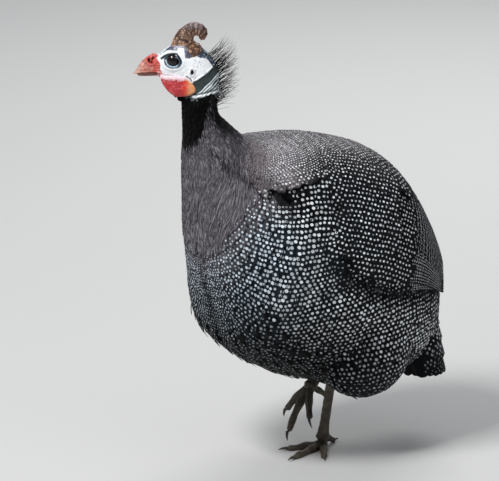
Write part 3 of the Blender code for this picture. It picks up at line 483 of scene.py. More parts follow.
class Wire:
    """A value or colour on its way through a finish's nodes. + - * on it add Math nodes."""

    tree = None

    def __init__(self, socket):
        self.socket = socket

    @classmethod
    def node(cls, kind, settings=(), output=0, **inputs):
        """Any node: its settings are set first, then its sockets, by name or as in_0, in_1."""
        made = cls.tree.nodes.new(kind)
        for key, value in dict(settings).items():
            setattr(made, key, value)
        for key, value in inputs.items():
            socket = made.inputs[int(key[3:]) if key[:3] == "in_" else key.replace("_", " ")]
            if isinstance(value, Wire):
                cls.tree.links.new(value.socket, socket)
            elif socket.type == "RGBA" and len(value) == 3:
                socket.default_value = (*value, 1)
            else:
                socket.default_value = value
        return cls(made.outputs[output])

    def sum(self, operation, *others):
        inputs = {f"in_{k}": other for k, other in enumerate((self, *others))}
        return Wire.node("ShaderNodeMath", {"operation": operation}, **inputs)

    def __add__(self, other):
        return self.sum("ADD", other)

    def __sub__(self, other):
        return self.sum("SUBTRACT", other)

    def __rsub__(self, other):
        return Wire.node("ShaderNodeMath", {"operation": "SUBTRACT"}, in_0=other, in_1=self)

    def __mul__(self, other):
        return self.sum("MULTIPLY", other)

    __radd__, __rmul__ = __add__, __mul__

    def clear(self, low, high):
        """0 below low, 1 above high, and smooth between."""
        return Wire.node("ShaderNodeMapRange", {"interpolation_type": "SMOOTHSTEP"}, in_0=self,
                         in_1=low, in_2=high)


def blended(share, first, second, way="MIX"):
    """Two colours mixed by a share from 0 to 1."""
    return Wire.node("ShaderNodeMix", {"data_type": "RGBA", "blend_type": way}, output=2,
                     in_0=share, in_6=first, in_7=second)


def finish_of(name, roughness, paint, **fixed):
    """A finish whose paint() gives Base Color, and what else changes over the surface."""
    finish = bpy.data.materials.new(name)
    finish.use_nodes = True
    Wire.tree = finish.node_tree
    shader = finish.node_tree.nodes["Principled BSDF"]
    shader.inputs["Roughness"].default_value = roughness
    for key, value in fixed.items():
        shader.inputs[key.replace("_", " ")].default_value = value
    for key, wire in paint().items():
        finish.node_tree.links.new(wire.socket, shader.inputs[key])
    return finish


def own_colour():
    """The colour that each point of a piece carries, and nothing else."""
    return {"Base Color": Wire.node("ShaderNodeAttribute", {"attribute_name": "plume"})}


def grained(shade, height, strength, depth, **more):
    """The points' own colours times a shade, over a fine relief up to depth metres deep."""
    return {"Base Color": blended(1.0, own_colour()["Base Color"], shade, "MULTIPLY"),
            "Normal": Wire.node("ShaderNodeBump", Strength=strength, Distance=depth, Height=height), **more}


def texture(kind, scale, settings=(), **inputs):
    """A texture fixed to the bird, with scale grains to the metre."""
    where = Wire.node("ShaderNodeTexCoord", output=3)
    return Wire.node(f"ShaderNodeTex{kind}", settings, Vector=where, Scale=scale, **inputs)


def skin_paint():
    pores, lines = texture("Voronoi", 900.0), texture("Noise", 260.0, Detail=5.0)
    return grained(0.82 + lines * 0.32, pores * 0.5 + lines, 0.5, 0.0003)


head_skin = finish_of("head_skin", 0.48, skin_paint, Specular_IOR_Level=0.4)
halves = []
for name, points, quads in (("skin", skin_low, low_quads), ("skin_head", skin_top, top_quads)):
    mesh = bpy.data.meshes.new(name)
    mesh.from_pydata(settled(points).tolist(), [], quads.tolist())
    halves.append(placed(name, mesh))
skin, top = halves
joint = skin.modifiers.new("joint", "BOOLEAN")
joint.operation, joint.solver, joint.object = "UNION", "MANIFOLD", top
whole, co = applied(skin)
skin.modifiers.clear()
skin.data = whole
bpy.data.objects.remove(top)
whole.name = "skin"
whole.materials.clear()
whole.materials.append(head_skin)
whole.shade_smooth()
co = measured(co)
height = co[:, 2]
breast_share = ramp(co[:, 1] - 0.25 * (height - 250), -75, -105)
trunk_tint = mixed(breast_share, np.array((0.016, 0.018, 0.021)), np.array((0.05, 0.047, 0.056)))
head_tint = np.zeros((len(co), 3))
head_tint[height > 370] = head_colour(co[height > 370])
neck_black = ramp(height, 322, 345) * (1 - ramp(height, 378, 386))
coloured(whole, mixed(neck_black, mixed(ramp(height, 372, 384), trunk_tint, head_tint), 0.008))
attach(skin, "root")
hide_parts("torso", "neck_base", "neck", "head", "thigh_left", "thigh_right")

# Dark brown eyes, each a whole ball set in its lids, with a wet clear surface over the iris. The
# front of each ball bulges a little, as the cornea does.
EYE_RADIUS = 6.7


def ball_grid(rows=40, columns=48):
    """Rings of points on a unit ball whose poles are on its third axis."""
    a, b = np.linspace(0.02, math.pi - 0.02, rows), np.arange(columns) * math.tau / columns
    return np.stack([np.sin(a)[:, None] * np.cos(b), np.sin(a)[:, None] * np.sin(b),
                     np.repeat(np.cos(a)[:, None], columns, 1)], -1)


def lofted(name, bodies, finish, nodes, tint=None, lowest=None):
    """One piece of closed bodies, each through rings of points and with its ends capped.
    tint(points) gives its colours, and no point lies lower than lowest."""
    points, faces, start = [], [], 0
    for rings in bodies:
        rows, columns = rings.shape[:2]
        points += [rings.reshape(-1, 3), rings[0].mean(0)[None], rings[-1].mean(0)[None]]
        faces += (grid_quads(rows, columns, around=True) + start).tolist()
        k = np.arange(columns)
        after, tail, middle = (k + 1) % columns, (rows - 1) * columns, np.full(columns, rows * columns)
        faces += (np.stack([k, middle, after], -1) + start).tolist()
        faces += (np.stack([tail + after, middle + 1, tail + k], -1) + start).tolist()
        start += rows * columns + 2
    points = np.concatenate(points)
    if lowest is not None:
        points[:, 2] = np.maximum(points[:, 2], lowest)
    mesh = closed_mesh(name, settled(points), faces)
    mesh.shade_smooth()
    mesh.materials.append(finish)
    if tint is not None:
        coloured(mesh, tint(points))
    piece = placed(name, mesh)
    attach(piece, "root")
    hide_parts(*nodes)


eye_glass = finish_of("eye_glass", 0.22, own_colour, Coat_Weight=0.55, Coat_Roughness=0.07,
                      Specular_IOR_Level=0.1)


def iris_colour(points):
    f, _, u, _ = on_head(points)
    off = np.hypot(f - EYE[0], u - EYE[2])
    ring = ramp(off, 2.9, 3.2) * ramp(off, 5.6, 4.6)
    return mixed(ring, np.array((0.004, 0.003, 0.004)), np.array((0.016, 0.007, 0.005)))


for side, name in ((1, "eye_left"), (-1, "eye_right")):
    ball = ball_grid()
    bulge = 1 + 0.05 * ridge(ball[..., 2], 1, 0.10)
    local = np.stack([ball[..., 0], ball[..., 2] * side * bulge, ball[..., 1]], -1) * EYE_RADIUS
    rings = in_head(local + np.array((EYE[0], EYE[1] * side, EYE[2])))
    lofted(name.replace("eye", "eyeball"), [rings], eye_glass, (name,), iris_colour)

# The casque: a bony cone on the crown, covered in knobbly brown horn and hooked backwards at the top,
# where a painted highlight makes it greyer. It is one loft, with the knobs raised over its whole face.
CASQUE = np.array([  # front edge forward, up, back edge forward, up, half width
    (12.5, 14, -18, 4, 9.0), (12.4, 18.8, -17.5, 8, 8.8), (9.8, 27.6, -15.5, 15, 7.8),
    (5.6, 34.4, -12, 20.8, 6.3), (0.4, 39.4, -9.9, 25.4, 5.3), (-5.2, 42.6, -9.9, 28.4, 4.9),
    (-11.8, 44.0, -11.6, 30.6, 4.8), (-18.9, 41.4, -13.8, 30.2, 4.5), (-23.2, 35, -15.6, 27.8, 4.1),
    (-23.0, 28.0, -17.4, 24.6, 3.2)], float)
rows, sides = 84, 60
t = np.linspace(0, len(CASQUE) - 1, rows)
row = flowing(CASQUE, t)
turn = np.arange(sides) * math.tau / sides
front, middle = row[:, 0:2], (row[:, 0:2] + row[:, 2:4]) / 2
end = np.sqrt(np.clip((len(CASQUE) - 1 - t) / 0.55, 0.02, 1))[:, None]
squeeze = np.sign(np.cos(turn)) * abs(np.cos(turn)) ** 0.9
local = np.stack([middle[:, 0:1] + (front - middle)[:, 0:1] * squeeze * end, row[:, 4:5] * np.sin(turn) * end,
                  middle[:, 1:2] + (front - middle)[:, 1:2] * squeeze * end], -1)
away = local - np.stack([middle[:, 0], 0 * t, middle[:, 1]], -1)[:, None]
away /= np.linalg.norm(away, axis=-1, keepdims=True) + 1e-6
big, small = knobs(local, 2.7), knobs(local, 1.3, 5.0)
ridged = np.clip((t - 4.0) / 1.5, 0, 1)[:, None]
big = big * (1 - 0.6 * ridged) + 0.6 * ridged * (0.5 + 0.5 * np.sin(t * 7.5)[:, None] * np.ones(sides))
local = local + away * (1.0 * big + 0.36 * small - 0.6)[..., None]
crowns = (0.65 * big + 0.35 * small).reshape(-1)


def horn_colour(points):
    f, _, u, _ = on_head(points)
    rough = speckle(points, 6.0, 1.0)
    tan = np.array((0.46, 0.27, 0.16)) * (1 + 0.35 * np.clip(speckle(points, 1.6, 14.0), -1, 1))[:, None]
    # Towards the top the tan horn is painted greyish-pink as a highlight.
    light = mixed(ramp(u + 2 * rough, 34, 40) * ramp(f, 8, -2) * 0.85, tan, np.array((0.36, 0.31, 0.32)))
    light = mixed(ramp(f, -14, -19) * ramp(u, 24, 30) * 0.6, light, np.array((0.16, 0.055, 0.045)))
    share = ramp(np.append(crowns, (0.5, 0.5)) + 0.3 * rough, 0.18, 0.80)
    return mixed(share, np.array((0.045, 0.017, 0.015)), light)


def horn_paint():
    cells, grain = texture("Voronoi", 750.0), texture("Noise", 420.0, Detail=6.0)
    return grained(0.70 + grain * 0.6, cells * 0.7 + grain * 0.6, 0.6, 0.0003, Roughness=0.38 + grain * 0.3)


horn = finish_of("casque_horn", 0.5, horn_paint, Specular_IOR_Level=0.5)
lofted("casque_horned", [in_head(local)], horn, ("casque",), horn_colour)

# The bill: two strong curved sheaths of horn. The upper one carries fleshy red folds round each
# nostril at its base.
BILL = np.array([  # forward, culmen, bottom, half width
    (22, 11.2, -9.0, 8.6), (26, 11.8, -9.4, 7.6), (30, 11.9, -9.6, 6.9), (35.6, 9.4, -9.8, 6.0),
    (40.2, 5.4, -9.9, 5.0), (44.2, 0.0, -9.6, 3.7), (46.8, -4.4, -9.2, 2.2), (48.9, -7.4, -8.6, 0.7)], float)
NOSTRIL = (31.4, 7.2)
UPPER_END, LOWER_END = 7.0, 5.35


def mouth_edge(f):
    """The level at which the two sheaths meet."""
    share = (f - 24) / 24.8
    return -4.8 - 3.4 * share + 0.9 * np.sin(math.pi * np.clip(share, 0, 1))


def bill_sheath(rows, columns, upper):
    """Rings of a sheath: an arch over the mouth's edge or under it, and a flat face at the edge."""
    f, top, bottom, half = flowing(BILL, np.linspace(0, UPPER_END if upper else LOWER_END, rows)).T[..., None]
    edge = mouth_edge(f)
    a = np.linspace(0, math.pi, columns)
    flat = np.linspace(math.pi, math.tau, columns // 2)[1:-1]
    if upper:
        crown = np.maximum(top, edge + 0.9)
        y = [half * np.cos(a), half * np.cos(flat) * 0.96]
        z = [edge + (crown - edge) * np.sin(a) ** 0.92, edge + 0.5 * abs(np.sin(flat)) * ramp(f, 48.2, 42)]
    else:
        y = [half * 0.84 * np.cos(a), half * 0.8 * np.cos(flat)]
        z = [edge - 0.35 + (bottom - edge) * np.sin(a) * ramp(f, 49, 43), edge - 0.35 + 0 * flat]
    y = np.concatenate(y, 1)
    return np.stack([np.repeat(f, y.shape[1], 1), y, np.concatenate(z, 1)], -1)


def nostril_ring(f, u):
    return np.hypot(f - NOSTRIL[0], (u - NOSTRIL[1]) / 1.05)


def nostril_depth(f, u):
    """1 in the nostril's openings, which lie before, behind and below a small fleshy lobe."""
    forward, up = f - NOSTRIL[0], u - NOSTRIL[1]
    openings = ((2.3, 1.3, -0.4, 2.2), (-1.7, 1.5, 0.2, 2.8), (0.5, 2.2, -2.7, 0.9))
    return np.max([ramp(np.hypot((forward - x) / long, (up - y) / tall), 1.2, 0.7)
                   for x, long, y, tall in openings], 0)


def bill_colour(points):
    f, l, u, _ = on_head(points)
    streak = speckle(np.stack([f * 0.35, u, l], -1), 1.2, 2.0)
    rough = speckle(points, 2.2, 12.0)
    pink, pale = np.array((0.62, 0.22, 0.17)), np.array((0.66, 0.42, 0.33))
    red = np.array((0.56, 0.085, 0.070)) * (1 + 0.4 * rough)[:, None]
    base = mixed(ramp(f, 38, 47), pink, pale) * (0.62 + 0.5 * ramp(streak, -0.4, 0.5)[:, None])
    over_edge, ring = u - mouth_edge(f), nostril_ring(f, u)
    shine = ramp(over_edge, 2.0, 6.0) * ramp(streak, 0.0, 0.6) * 0.5
    flesh = np.maximum(ramp(ring + 0.6 * rough, 6.4, 5.2), ramp(f + rough, 30.5, 29.0))
    fold = ramp(abs(ring - 4.6), 1.0, 0.3) * ramp(rough, -0.5, 0.3) * ramp(f, 37, 34) * 0.6
    # Painted shade: a dark line along the mouth's edge where the sheaths meet, and the sheath below that edge
    # darker.
    mouth_gap_shade = ramp(abs(over_edge), 1.0, 0.2) * ramp(f, 48.5, 45) * 0.7
    for share, tint in (
            (shine, (0.80, 0.52, 0.46)), (flesh, red), (fold, (0.76, 0.24, 0.20)), (mouth_gap_shade, (0.13, 0.03, 0.025)),
            (ramp(-over_edge, 0.2, 1.2) * 0.85, (0.17, 0.045, 0.03))):
        base = mixed(share, base, np.array(tint))
    # The nostrils' openings are painted near black as the shade in their depth.
    nostril_shade = nostril_depth(f, u)[:, None]
    return base * (1 - 0.95 * nostril_shade) + np.array((0.06, 0.004, 0.006)) * nostril_shade


sheath = bill_sheath(130, 72, True)
f, l, u = sheath[..., 0], abs(sheath[..., 1]), sheath[..., 2]
ring, over_edge = nostril_ring(f, u), u - mouth_edge(f)
rough = speckle(sheath.reshape(-1, 3), 2.0).reshape(f.shape)
rise = 1.1 * ridge(ring - 0.3 * rough, 4.6, 0.9) - 2.2 * nostril_depth(f, u) - 0.5 * ramp(ring, 4, 3)
rise = rise + 0.9 * ridge(f, NOSTRIL[0] + 1.0, 0.7) * ramp(ring, 3.4, 2.4)
rise = rise * ramp(l, 1.5, 3.5) + 0.5 * ridge(f, 30.5, 2.0) * ramp(u, 6, 9)
rise = rise + 0.5 * rough * ramp(f, 37, 32) - 0.3 * ridge(over_edge, 2.2, 0.6) * ramp(f, 30, 34)
way = np.stack([0 * f, sheath[..., 1], np.maximum(u - 2, 0) * 0.6], -1)
way /= np.linalg.norm(way, axis=-1, keepdims=True) + 1e-6
sheath = sheath + way * rise[..., None]


def bill_paint():
    grain = texture("Noise", 300.0, Detail=5.0)
    return grained(0.78 + grain * 0.44, grain, 0.35, 0.0002, Roughness=0.26 + grain * 0.26)


bill_horn = finish_of("bill_horn", 0.36, bill_paint, Specular_IOR_Level=0.5)
lofted("bill_sheath_upper", [in_head(sheath)], bill_horn, ("bill_upper",), bill_colour)
lofted("bill_sheath_lower", [in_head(bill_sheath(70, 40, False))], bill_horn, ("bill_lower",),
       bill_colour)

# The wattles: flat fleshy lobes that hang from the corners of the mouth, crimson in front and
# orange at the hind tip, with a fine net of creases.
WATTLE_RIM = np.array([  # forward, up, round the lobe
    (22.8, -6.3), (21.9, -11.7), (19.6, -16.4), (14.2, -22.8), (8.1, -26.6), (3.5, -26.9), (-0.8, -26.7),
    (-4.8, -25.9), (-7.8, -24.6), (-11.4, -21.9), (-10.9, -17.2), (-6.0, -11.8), (-0.8, -8.1), (8.1, -6.7),
    (18.7, -6.4)], float)
WATTLE_HEART, WATTLE_THICK = np.array((6.0, -17.0)), 2.5


def lobe_rings(side, rows=36, columns=96):
    """Rings of a wattle from its outer face to its inner one; the lobe hangs out from the jaw."""
    t = np.arange(columns) * len(WATTLE_RIM) / columns
    rim = flowing(np.vstack([WATTLE_RIM[-2:], WATTLE_RIM, WATTLE_RIM[:3]]), t + 2)
    rings = []
    for turn in math.pi * (np.arange(rows) + 0.5) / rows:
        spot = WATTLE_HEART + (rim - WATTLE_HEART) * math.sin(turn) ** 0.7
        forward, up = spot[:, 0], spot[:, 1]
        out = (14.6 + 1.9 * np.clip((-12 - up) / 15, 0, 1.2) - 0.22 * np.clip(forward - 10, 0, 20)
               + 0.05 * np.clip(-forward, 0, 20))
        rings.append(np.stack([forward, side * (out + math.cos(turn) * WATTLE_THICK), up], -1))
    rings = np.array(rings)
    net = knobs(rings, 1.5, 2.0) * 0.28 + speckle(rings.reshape(-1, 3), 5.0).reshape(rows, columns) * 0.5
    rings[..., 1] += side * net * np.cos(np.linspace(0.5, rows - 0.5, rows) * math.pi / rows)[:, None]
    return rings


def wattle_colour(points):
    f, l, u, side = on_head(points)
    net = knobs(np.stack([f, side * l, u], -1), 1.5, 2.0)
    rough, fine = speckle(points, 4.0, 6.0), speckle(points, 0.9, 4.0)
    teeth = speckle(np.stack([f * 0.9 + 0.3 * u, u * 0.25, side], -1), 1.0, 8.0)
    crimson, scarlet = np.array((0.46, 0.026, 0.034)), np.array((0.66, 0.045, 0.016))
    base = mixed(ramp(f + rough, 4, -2), crimson, scarlet)
    tip = ramp(f + 1.2 * rough - 0.035 * (u + 17) ** 2, -2.6, -6.4)
    light = ramp(net + 0.5 * fine, 0.45, 0.95) * 0.5 * (1 - 0.6 * tip)
    top = ramp(u + 3.2 * teeth + 0.5 * fine, -11.2, -9.4) * ramp(f, -9, -3) * 0.85
    # The second layer darkens the lobe towards its lower edge as painted shade.
    for share, tint in ((tip, (0.80, 0.34, 0.15)), (ramp(u, -22.5, -26) * 0.5, (0.33, 0.020, 0.014)),
                        (light, (0.86, 0.34, 0.33)), (top, (0.90, 0.74, 0.80))):
        base = mixed(share, base, np.array(tint))
    return base


def wattle_paint():
    net = texture("Voronoi", 1100.0)
    return grained(0.85 + net * 0.3, net, 0.45, 0.0002)


wattle_flesh = finish_of("wattle_flesh", 0.42, wattle_paint, Specular_IOR_Level=0.45)
for side, word in ((1, "left"), (-1, "right")):
    lofted(f"wattle_lobe_{word}", [in_head(lobe_rings(side))], wattle_flesh,
           (f"wattle_{word}",), wattle_colour)

# The coat is laid over the soft forms of the plumage: the cape of the mantle with its overhanging
# lip, the folded wings under it, hollows between them, and the furrow down the breast.
WING = np.array([  # station, upper edge, lower edge in degrees, from the bend to the tip
    (10.3, 40, 58), (9.4, 31, 67), (8.4, 22, 78), (7.2, 17, 89), (6.0, 15, 91), (4.9, 16, 85),
    (4.1, 22, 77), (3.4, 34, 68)])
WING_LIFT, CAPE_LIFT = 6.2, 4.4
FORMS = [  # station, angle, half length along the body, half width round it (mm), height
    (9.75, 62, 14, 6, -4.0), (7.9, 60, 15, 9, -4.2), (8.6, 55, 10, 6, -1.6), (7.75, 100, 9, 7, -2.6),
    (6.95, 107, 20, 17, 2.6), (6.15, 118, 7, 22, -2.4), (5.9, 140, 7, 22, -2.0), (4.7, 108, 26, 18, 1.5),
    (9.2, 122, 34, 34, 2.0), (9.5, -150, 34, 20, 4.2), (9.7, 148, 34, 20, 2.0), (9.9, 180, 50, 7, -3.0),
    (12.0, 62, 5, 16, -1.1), (11.3, 58, 5, 12, -1.0), (9.0, 20, 22, 26, 1.0)]
LIP_STATIONS = (5.6, 6.6, 7.35, 8.1, 8.8, 9.25, 9.85, 10.4, 10.9)
LIP_ANGLES = (26, 33, 38, 41, 45, 48, 53, 59, 64)
CREASES = [((13.3, 118), (12.9, 102), (12.35, 84)), ((12.2, 76), (11.65, 69), (10.9, 62), (10.3, 56))]


def wing_edge(station):
    """The angle of the folded wing's lower edge."""
    return np.interp(station, WING[::-1, 0], WING[::-1, 2])


def lip_angle(station):
    """Where the mantle's cape ends on each side."""
    return np.interp(station, LIP_STATIONS, LIP_ANGLES)


def relief(station, angle):
    """The plumage's own ups and downs, in millimetres."""
    total = np.zeros(np.broadcast(station, angle).shape)
    for where, turn, long, wide, height in FORMS:
        row = flowing(TRUNK, np.array([where - 0.5, where + 0.5, where]))
        along = np.linalg.norm((row[1] - row[0])[0:4].reshape(2, 2).mean(0))
        radius = 0.5 * (row[2][4] + np.linalg.norm(row[2][0:2] - row[2][2:4]) / 2)
        for side in ((1,) if turn < 0 or turn > 150 else (1, -1)):
            swing = (angle * side - turn + 180) % 360 - 180
            away = ((station - where) * along / long) ** 2 + (np.radians(swing) * radius / wide) ** 2
            total = total + height * np.exp(-away)
    return total - 2.4 * creased(station, angle) + 1.0 * creased(station, abs(angle) + 7)


def painted_lip_shadow(s, angle):
    """Where the painted shadow falls in the deep hollow between the cape's lip, the shoulder and the
    breast: 1 at its darkest, where the coat is darkened and no spots are laid.
    """
    return np.exp(-((s - 9.85) / 0.55) ** 2 - ((angle - 61) / 6.0) ** 2)


def creased(station, angle):
    """1 along the fine creases where the neck's plumage folds, 0 away from them. The relief folds
    along them, and the colours are darkened along them as painted shade.
    """
    most = np.zeros(np.broadcast(station, angle).shape)
    for line in CREASES:
        for (s0, a0), (s1, a1) in zip(line, line[1:]):
            along, across = (s1 - s0) * 28, (a1 - a0) * 0.9
            x, y = (station - s0) * 28, (abs(angle) - a0) * 0.9
            t = np.clip((x * along + y * across) / (along * along + across * across), 0, 1)
            most = np.maximum(most, np.exp(-((x - t * along) ** 2 + (y - t * across) ** 2) / 7.0))
    return most


def wing_gap(s, angle):
    """The gap under the folded wing's lower edge: the flank sinks there, and its coat is darkened there as
    painted shade.
    """
    return ridge(angle - wing_edge(s), 3, 4.0) * ramp(s, 8.4, 7.4) * ramp(s, 2.6, 3.4)


def painted_shade(s, angle):
    """Painted shade, as a factor on the coat's colours: below 1 in the plumage's hollows, creases
    and underside, in the gap under the folded wing and in the hollow under the cape's lip.
    """
    turned = abs(angle)
    hollow = np.clip(-relief(s, angle) / 4.5, 0, 1)
    under = ramp(turned, 106, 146) * ramp(s, 11.0, 8.6)
    return ((1 - 0.6 * hollow) * (1 - 0.7 * under) * (1 - 0.75 * wing_gap(s, turned))
            * (1 - 0.7 * creased(s, angle)) * (1 - 0.85 * painted_lip_shadow(s, turned)))


def thigh_bulge(point, away):
    """How far the feathered thighs stand out of the trunk on a ray outwards."""
    total = np.zeros(point.shape[:-1])
    for centre, radii in THIGHS.values():
        here, way = (point - np.array(centre)) / radii, away / np.array(radii)
        square, cross, rest = (way * way).sum(-1), (here * way).sum(-1), (here * here).sum(-1) - 1
        inside = cross ** 2 - square * rest
        reach = (-cross + np.sqrt(np.maximum(inside, 0))) / square
        bulge = 0.5 * (reach + np.sqrt(reach ** 2 + 36))
        total = np.maximum(total, ramp(inside / square, -0.35, 0.15) * bulge)
    return total


def form(a, b, wing=1.0, mantle=0.0):
    """The trunk with the relief of its plumage, drawn smoothly over the thighs, and with the
    folded wings and the mantle's cape lying over it or not."""
    s, angle = np.broadcast_arrays(-np.asarray(a, float), np.asarray(b, float))
    away = np.stack([np.sin(np.radians(angle)), 0 * s, np.cos(np.radians(angle))], -1)
    turned, edge, front = abs(angle), wing_edge(s), ramp(s, 7.4, 8.6)
    lift = (WING_LIFT * ramp(turned, 2, 34) * ramp(s, 10.9, 9.4) * (0.45 + 0.55 * ramp(s, 2.6, 5.6))
            * ramp(turned, edge + 14 * front, edge - 1 - 22 * front) * (wing + (1 - wing) * front))
    cape = CAPE_LIFT * ramp(s, 11.9, 10.0) * ramp(s, 8.0, 9.5) * ramp(turned, 16, lip_angle(s) - 4)
    point = trunk(s, angle)
    drape = thigh_bulge(point, away) * ramp(turned, 92, 108) * ramp(turned, 164, 148)
    gap = 3.4 * (1 - wing) * wing_gap(s, turned)
    return point + away * (lift + mantle * cape + relief(s, angle) + drape - gap)[..., None]


def flank_form(a, b):
    return form(a, b, wing=0.0)


def cape_form(a, b):
    return form(a, b, mantle=1.0)


# The body's contour feathers: broad, rounded and overlapping like slates from the breast to the
# vent, near black, with a blue-grey bloom on the breast. Each is a thin solid vane in a closed mesh.
CONTOUR = [(0.0, 0.30), (0.22, 0.72), (0.45, 0.95), (0.66, 1.0), (0.82, 0.93), (0.94, 0.66), (1.0, 0.22)]
ACROSS = (-1.0, -0.5, 0.0, 0.5, 1.0)
VANE_THICK = 0.3
LAID = []
MAUVE, MAUVE_BACK = np.array((0.236, 0.218, 0.245)), np.array((0.190, 0.168, 0.180))
SLATE, NIGHT = np.array((0.0055, 0.0068, 0.0085)), np.array((0.0035, 0.0035, 0.004))
TEAL_GREY = np.array((0.014, 0.022, 0.029))
PLAIN_EDGE = ((0, 25, 42, 56, 68, 88, 108, 130, 144, 180),
              (11.9, 11.9, 11.6, 11.4, 11.0, 11.2, 11.3, 11.2, 11.1, 11.1))
rng = np.random.RandomState(11)


def plumage_paint():
    """Each feather's own colour, with its barbs running out and back from the shaft."""
    barbs = Wire.node("ShaderNodeUVMap", {"uv_map": "barbs"})
    across = Wire.node("ShaderNodeSeparateXYZ", Vector=barbs)
    along = Wire(across.socket.node.outputs[1])
    wave = (along * 7.0 - across.sum("ABSOLUTE") * 6.0).sum("SINE") * 0.5 + 0.5
    clump = Wire.node("ShaderNodeTexNoise", Vector=barbs, Scale=0.9, Detail=3.0)
    return grained(0.74 + wave * 0.22 + clump * 0.30, wave + clump, 0.35, 0.0002)


plumage = finish_of("guinea_plumage", 0.66, plumage_paint, Sheen_Weight=0.015, Sheen_Roughness=0.4,
                    Specular_IOR_Level=0.09)


def coat_piece(name, points, one, finish, colour, place, across, along, length, width, nodes=()):
    """Many small shapes as one piece that rides with the bird. points are by shape, and one holds
    the first shape's faces. Each shape has its colour, its patch of the bake map at place, and
    a map of its barbs, across and along it."""
    count, each = points.shape[:2]
    quads = (np.array(one)[None] + (np.arange(count) * each)[:, None, None]).reshape(-1, 4)
    points = points.reshape(-1, 3)
    mesh = bpy.data.meshes.new(name)
    mesh.vertices.add(len(points))
    mesh.vertices.foreach_set("co", settled(points).astype(np.float32).ravel())
    mesh.loops.add(quads.size)
    mesh.loops.foreach_set("vertex_index", quads.astype(np.int32).ravel())
    mesh.polygons.add(len(quads))
    mesh.polygons.foreach_set("loop_start", np.arange(0, quads.size, 4, dtype=np.int32))
    mesh.update(calc_edges=True)
    mesh.validate()
    mesh.shade_smooth()
    mesh.materials.append(finish)
    coloured(mesh, np.repeat(colour, each, 0))
    patch = np.stack([across / width, along / length - 0.5], -1) * 0.003
    for layer, uv in (("OFBake", place[:, None] + patch), ("barbs", np.stack([across, along], -1))):
        uv = uv.reshape(-1, 2)[quads.ravel()].astype(np.float32)
        mesh.uv_layers.new(name=layer).data.foreach_set("uv", uv.ravel())
    piece = placed(name, mesh)
    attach(piece, "root")
    if nodes:
        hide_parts(*nodes)
    return points, quads


class Plumage:
    """Feathers on a surface: where each is rooted, which way it lies and how big it is."""

    def __init__(self, surface, a, b, length, width, low=-3.2, high=0.6, camber=0.7, turn=0.0,
                 tilt=0.0, colour=SLATE, profile=CONTOUR, curl=0.0):
        self.surface, self.profile = surface, np.array(profile, float)
        sizes = {"a": a, "b": b, "length": length, "width": width, "low": low, "high": high,
                 "camber": camber, "turn": turn, "tilt": tilt, "curl": curl}
        for key, value in sizes.items():
            setattr(self, key, np.broadcast_to(np.asarray(value, float), (len(a),))[:, None])
        self.colour = np.broadcast_to(np.asarray(colour, float), (len(a), 3))
        _, _, step_a, step_b = lie_of(surface, self.a, self.b)
        self.step_a, self.step_b = np.maximum(step_a, 1e-3), np.maximum(step_b, 1e-3)

    def half(self, y):
        return self.width / 2 * np.interp(y / self.length, self.profile[:, 0], self.profile[:, 1])

    def place(self, x, y, over=0.0):
        """Points x across and y along each feather, and over above its face."""
        c, s = np.cos(self.turn), np.sin(self.turn)
        bend = self.curl * (y / self.length) ** 2 * self.length
        a = self.a + (y * c - x * s) / self.step_a
        b = self.b + (y * s + (x + bend) * c) / self.step_b
        side = x / (self.width / 2)
        height = (self.low + (self.high - self.low) * np.clip(y / self.length, 0, 1) ** 0.75
                  - self.camber * side ** 2 + self.tilt * side + over)
        point, normal, _, _ = lie_of(self.surface, a, b)
        return point + normal * height[..., None]

    def mesh(self, name, bake, slot, nodes=(), lanes=ACROSS):
        """All of them as one piece. bake(a, b) gives a root's place on the unwrapped skin."""
        count, rings, wide = len(self.a), len(self.profile), len(lanes)
        y = np.broadcast_to(self.profile[:, 0], (count, rings)) * self.length
        half = np.broadcast_to(self.profile[:, 1], (count, rings)) * self.width / 2
        x = half[..., None] * np.array(lanes)
        ys = np.repeat(y[..., None], wide, -1)
        flat = (count, rings * wide)
        top = self.place(x.reshape(flat), ys.reshape(flat)).reshape(count, rings, wide, 3)
        under = self.place(0 * y, y, over=-VANE_THICK)[:, :, None, :]
        ring = wide + 1
        root, tip = (([[0, 5, 2, 1], [2, 5, 4, 3]], [[1, 2, 5, 0], [3, 4, 5, 2]]) if wide == 5
                     else ([[0, 3, 2, 1]], [[1, 2, 3, 0]]))
        one = np.concatenate([grid_quads(rings, ring, around=True), root, np.array(tip) + (rings - 1) * ring])
        across = np.concatenate([x, 0 * x[..., :1]], -1).reshape(count, -1)
        along = np.repeat(y[..., None], ring, -1).reshape(count, -1)
        points = np.concatenate([top, under], 2).reshape(count, rings * ring, 3)
        place = bake(self.a[:, 0], self.b[:, 0])
        LAID.append(coat_piece(name, points, one, plumage, self.colour, place, across, along,
                               self.length, self.width, nodes))

    def chosen(self, keep):
        """The same feathers, but only some, or some more than once."""
        made = object.__new__(Plumage)
        for key, value in vars(self).items():
            setattr(made, key, value if key in ("surface", "profile") else value[keep])
        return made


def plain_share(station, angle, soft):
    """1 on the plain grey breast and neck base, 0 where the feathers are spotted."""
    edge = np.interp(abs(angle), *PLAIN_EDGE)
    return ramp(station, edge - soft, edge + soft)


def trunk_bake(a, b):
    """A root's place on the trunk's skin laid flat: stations one way, angles the other."""
    return np.stack([0.02 + 0.96 * (-a / 17.2), 0.5 + 0.96 * b / 360], -1)


def staggered(stations, count, first=-180.0, last=180.0, jitter=0.10):
    """Rows of roots, every other row set half a feather round."""
    a, b, step = [], [], abs(stations[0] - stations[1])
    for k, station in enumerate(stations):
        angle = first + (last - first) * (np.arange(count) + 0.5 * (k % 2) + 0.25) / count
        a.append(np.full(count, -station) + rng.uniform(-jitter, jitter, count) * step)
        b.append(angle + rng.uniform(-jitter, jitter, count) * (last - first) / count)
    return np.concatenate(a), np.concatenate(b)


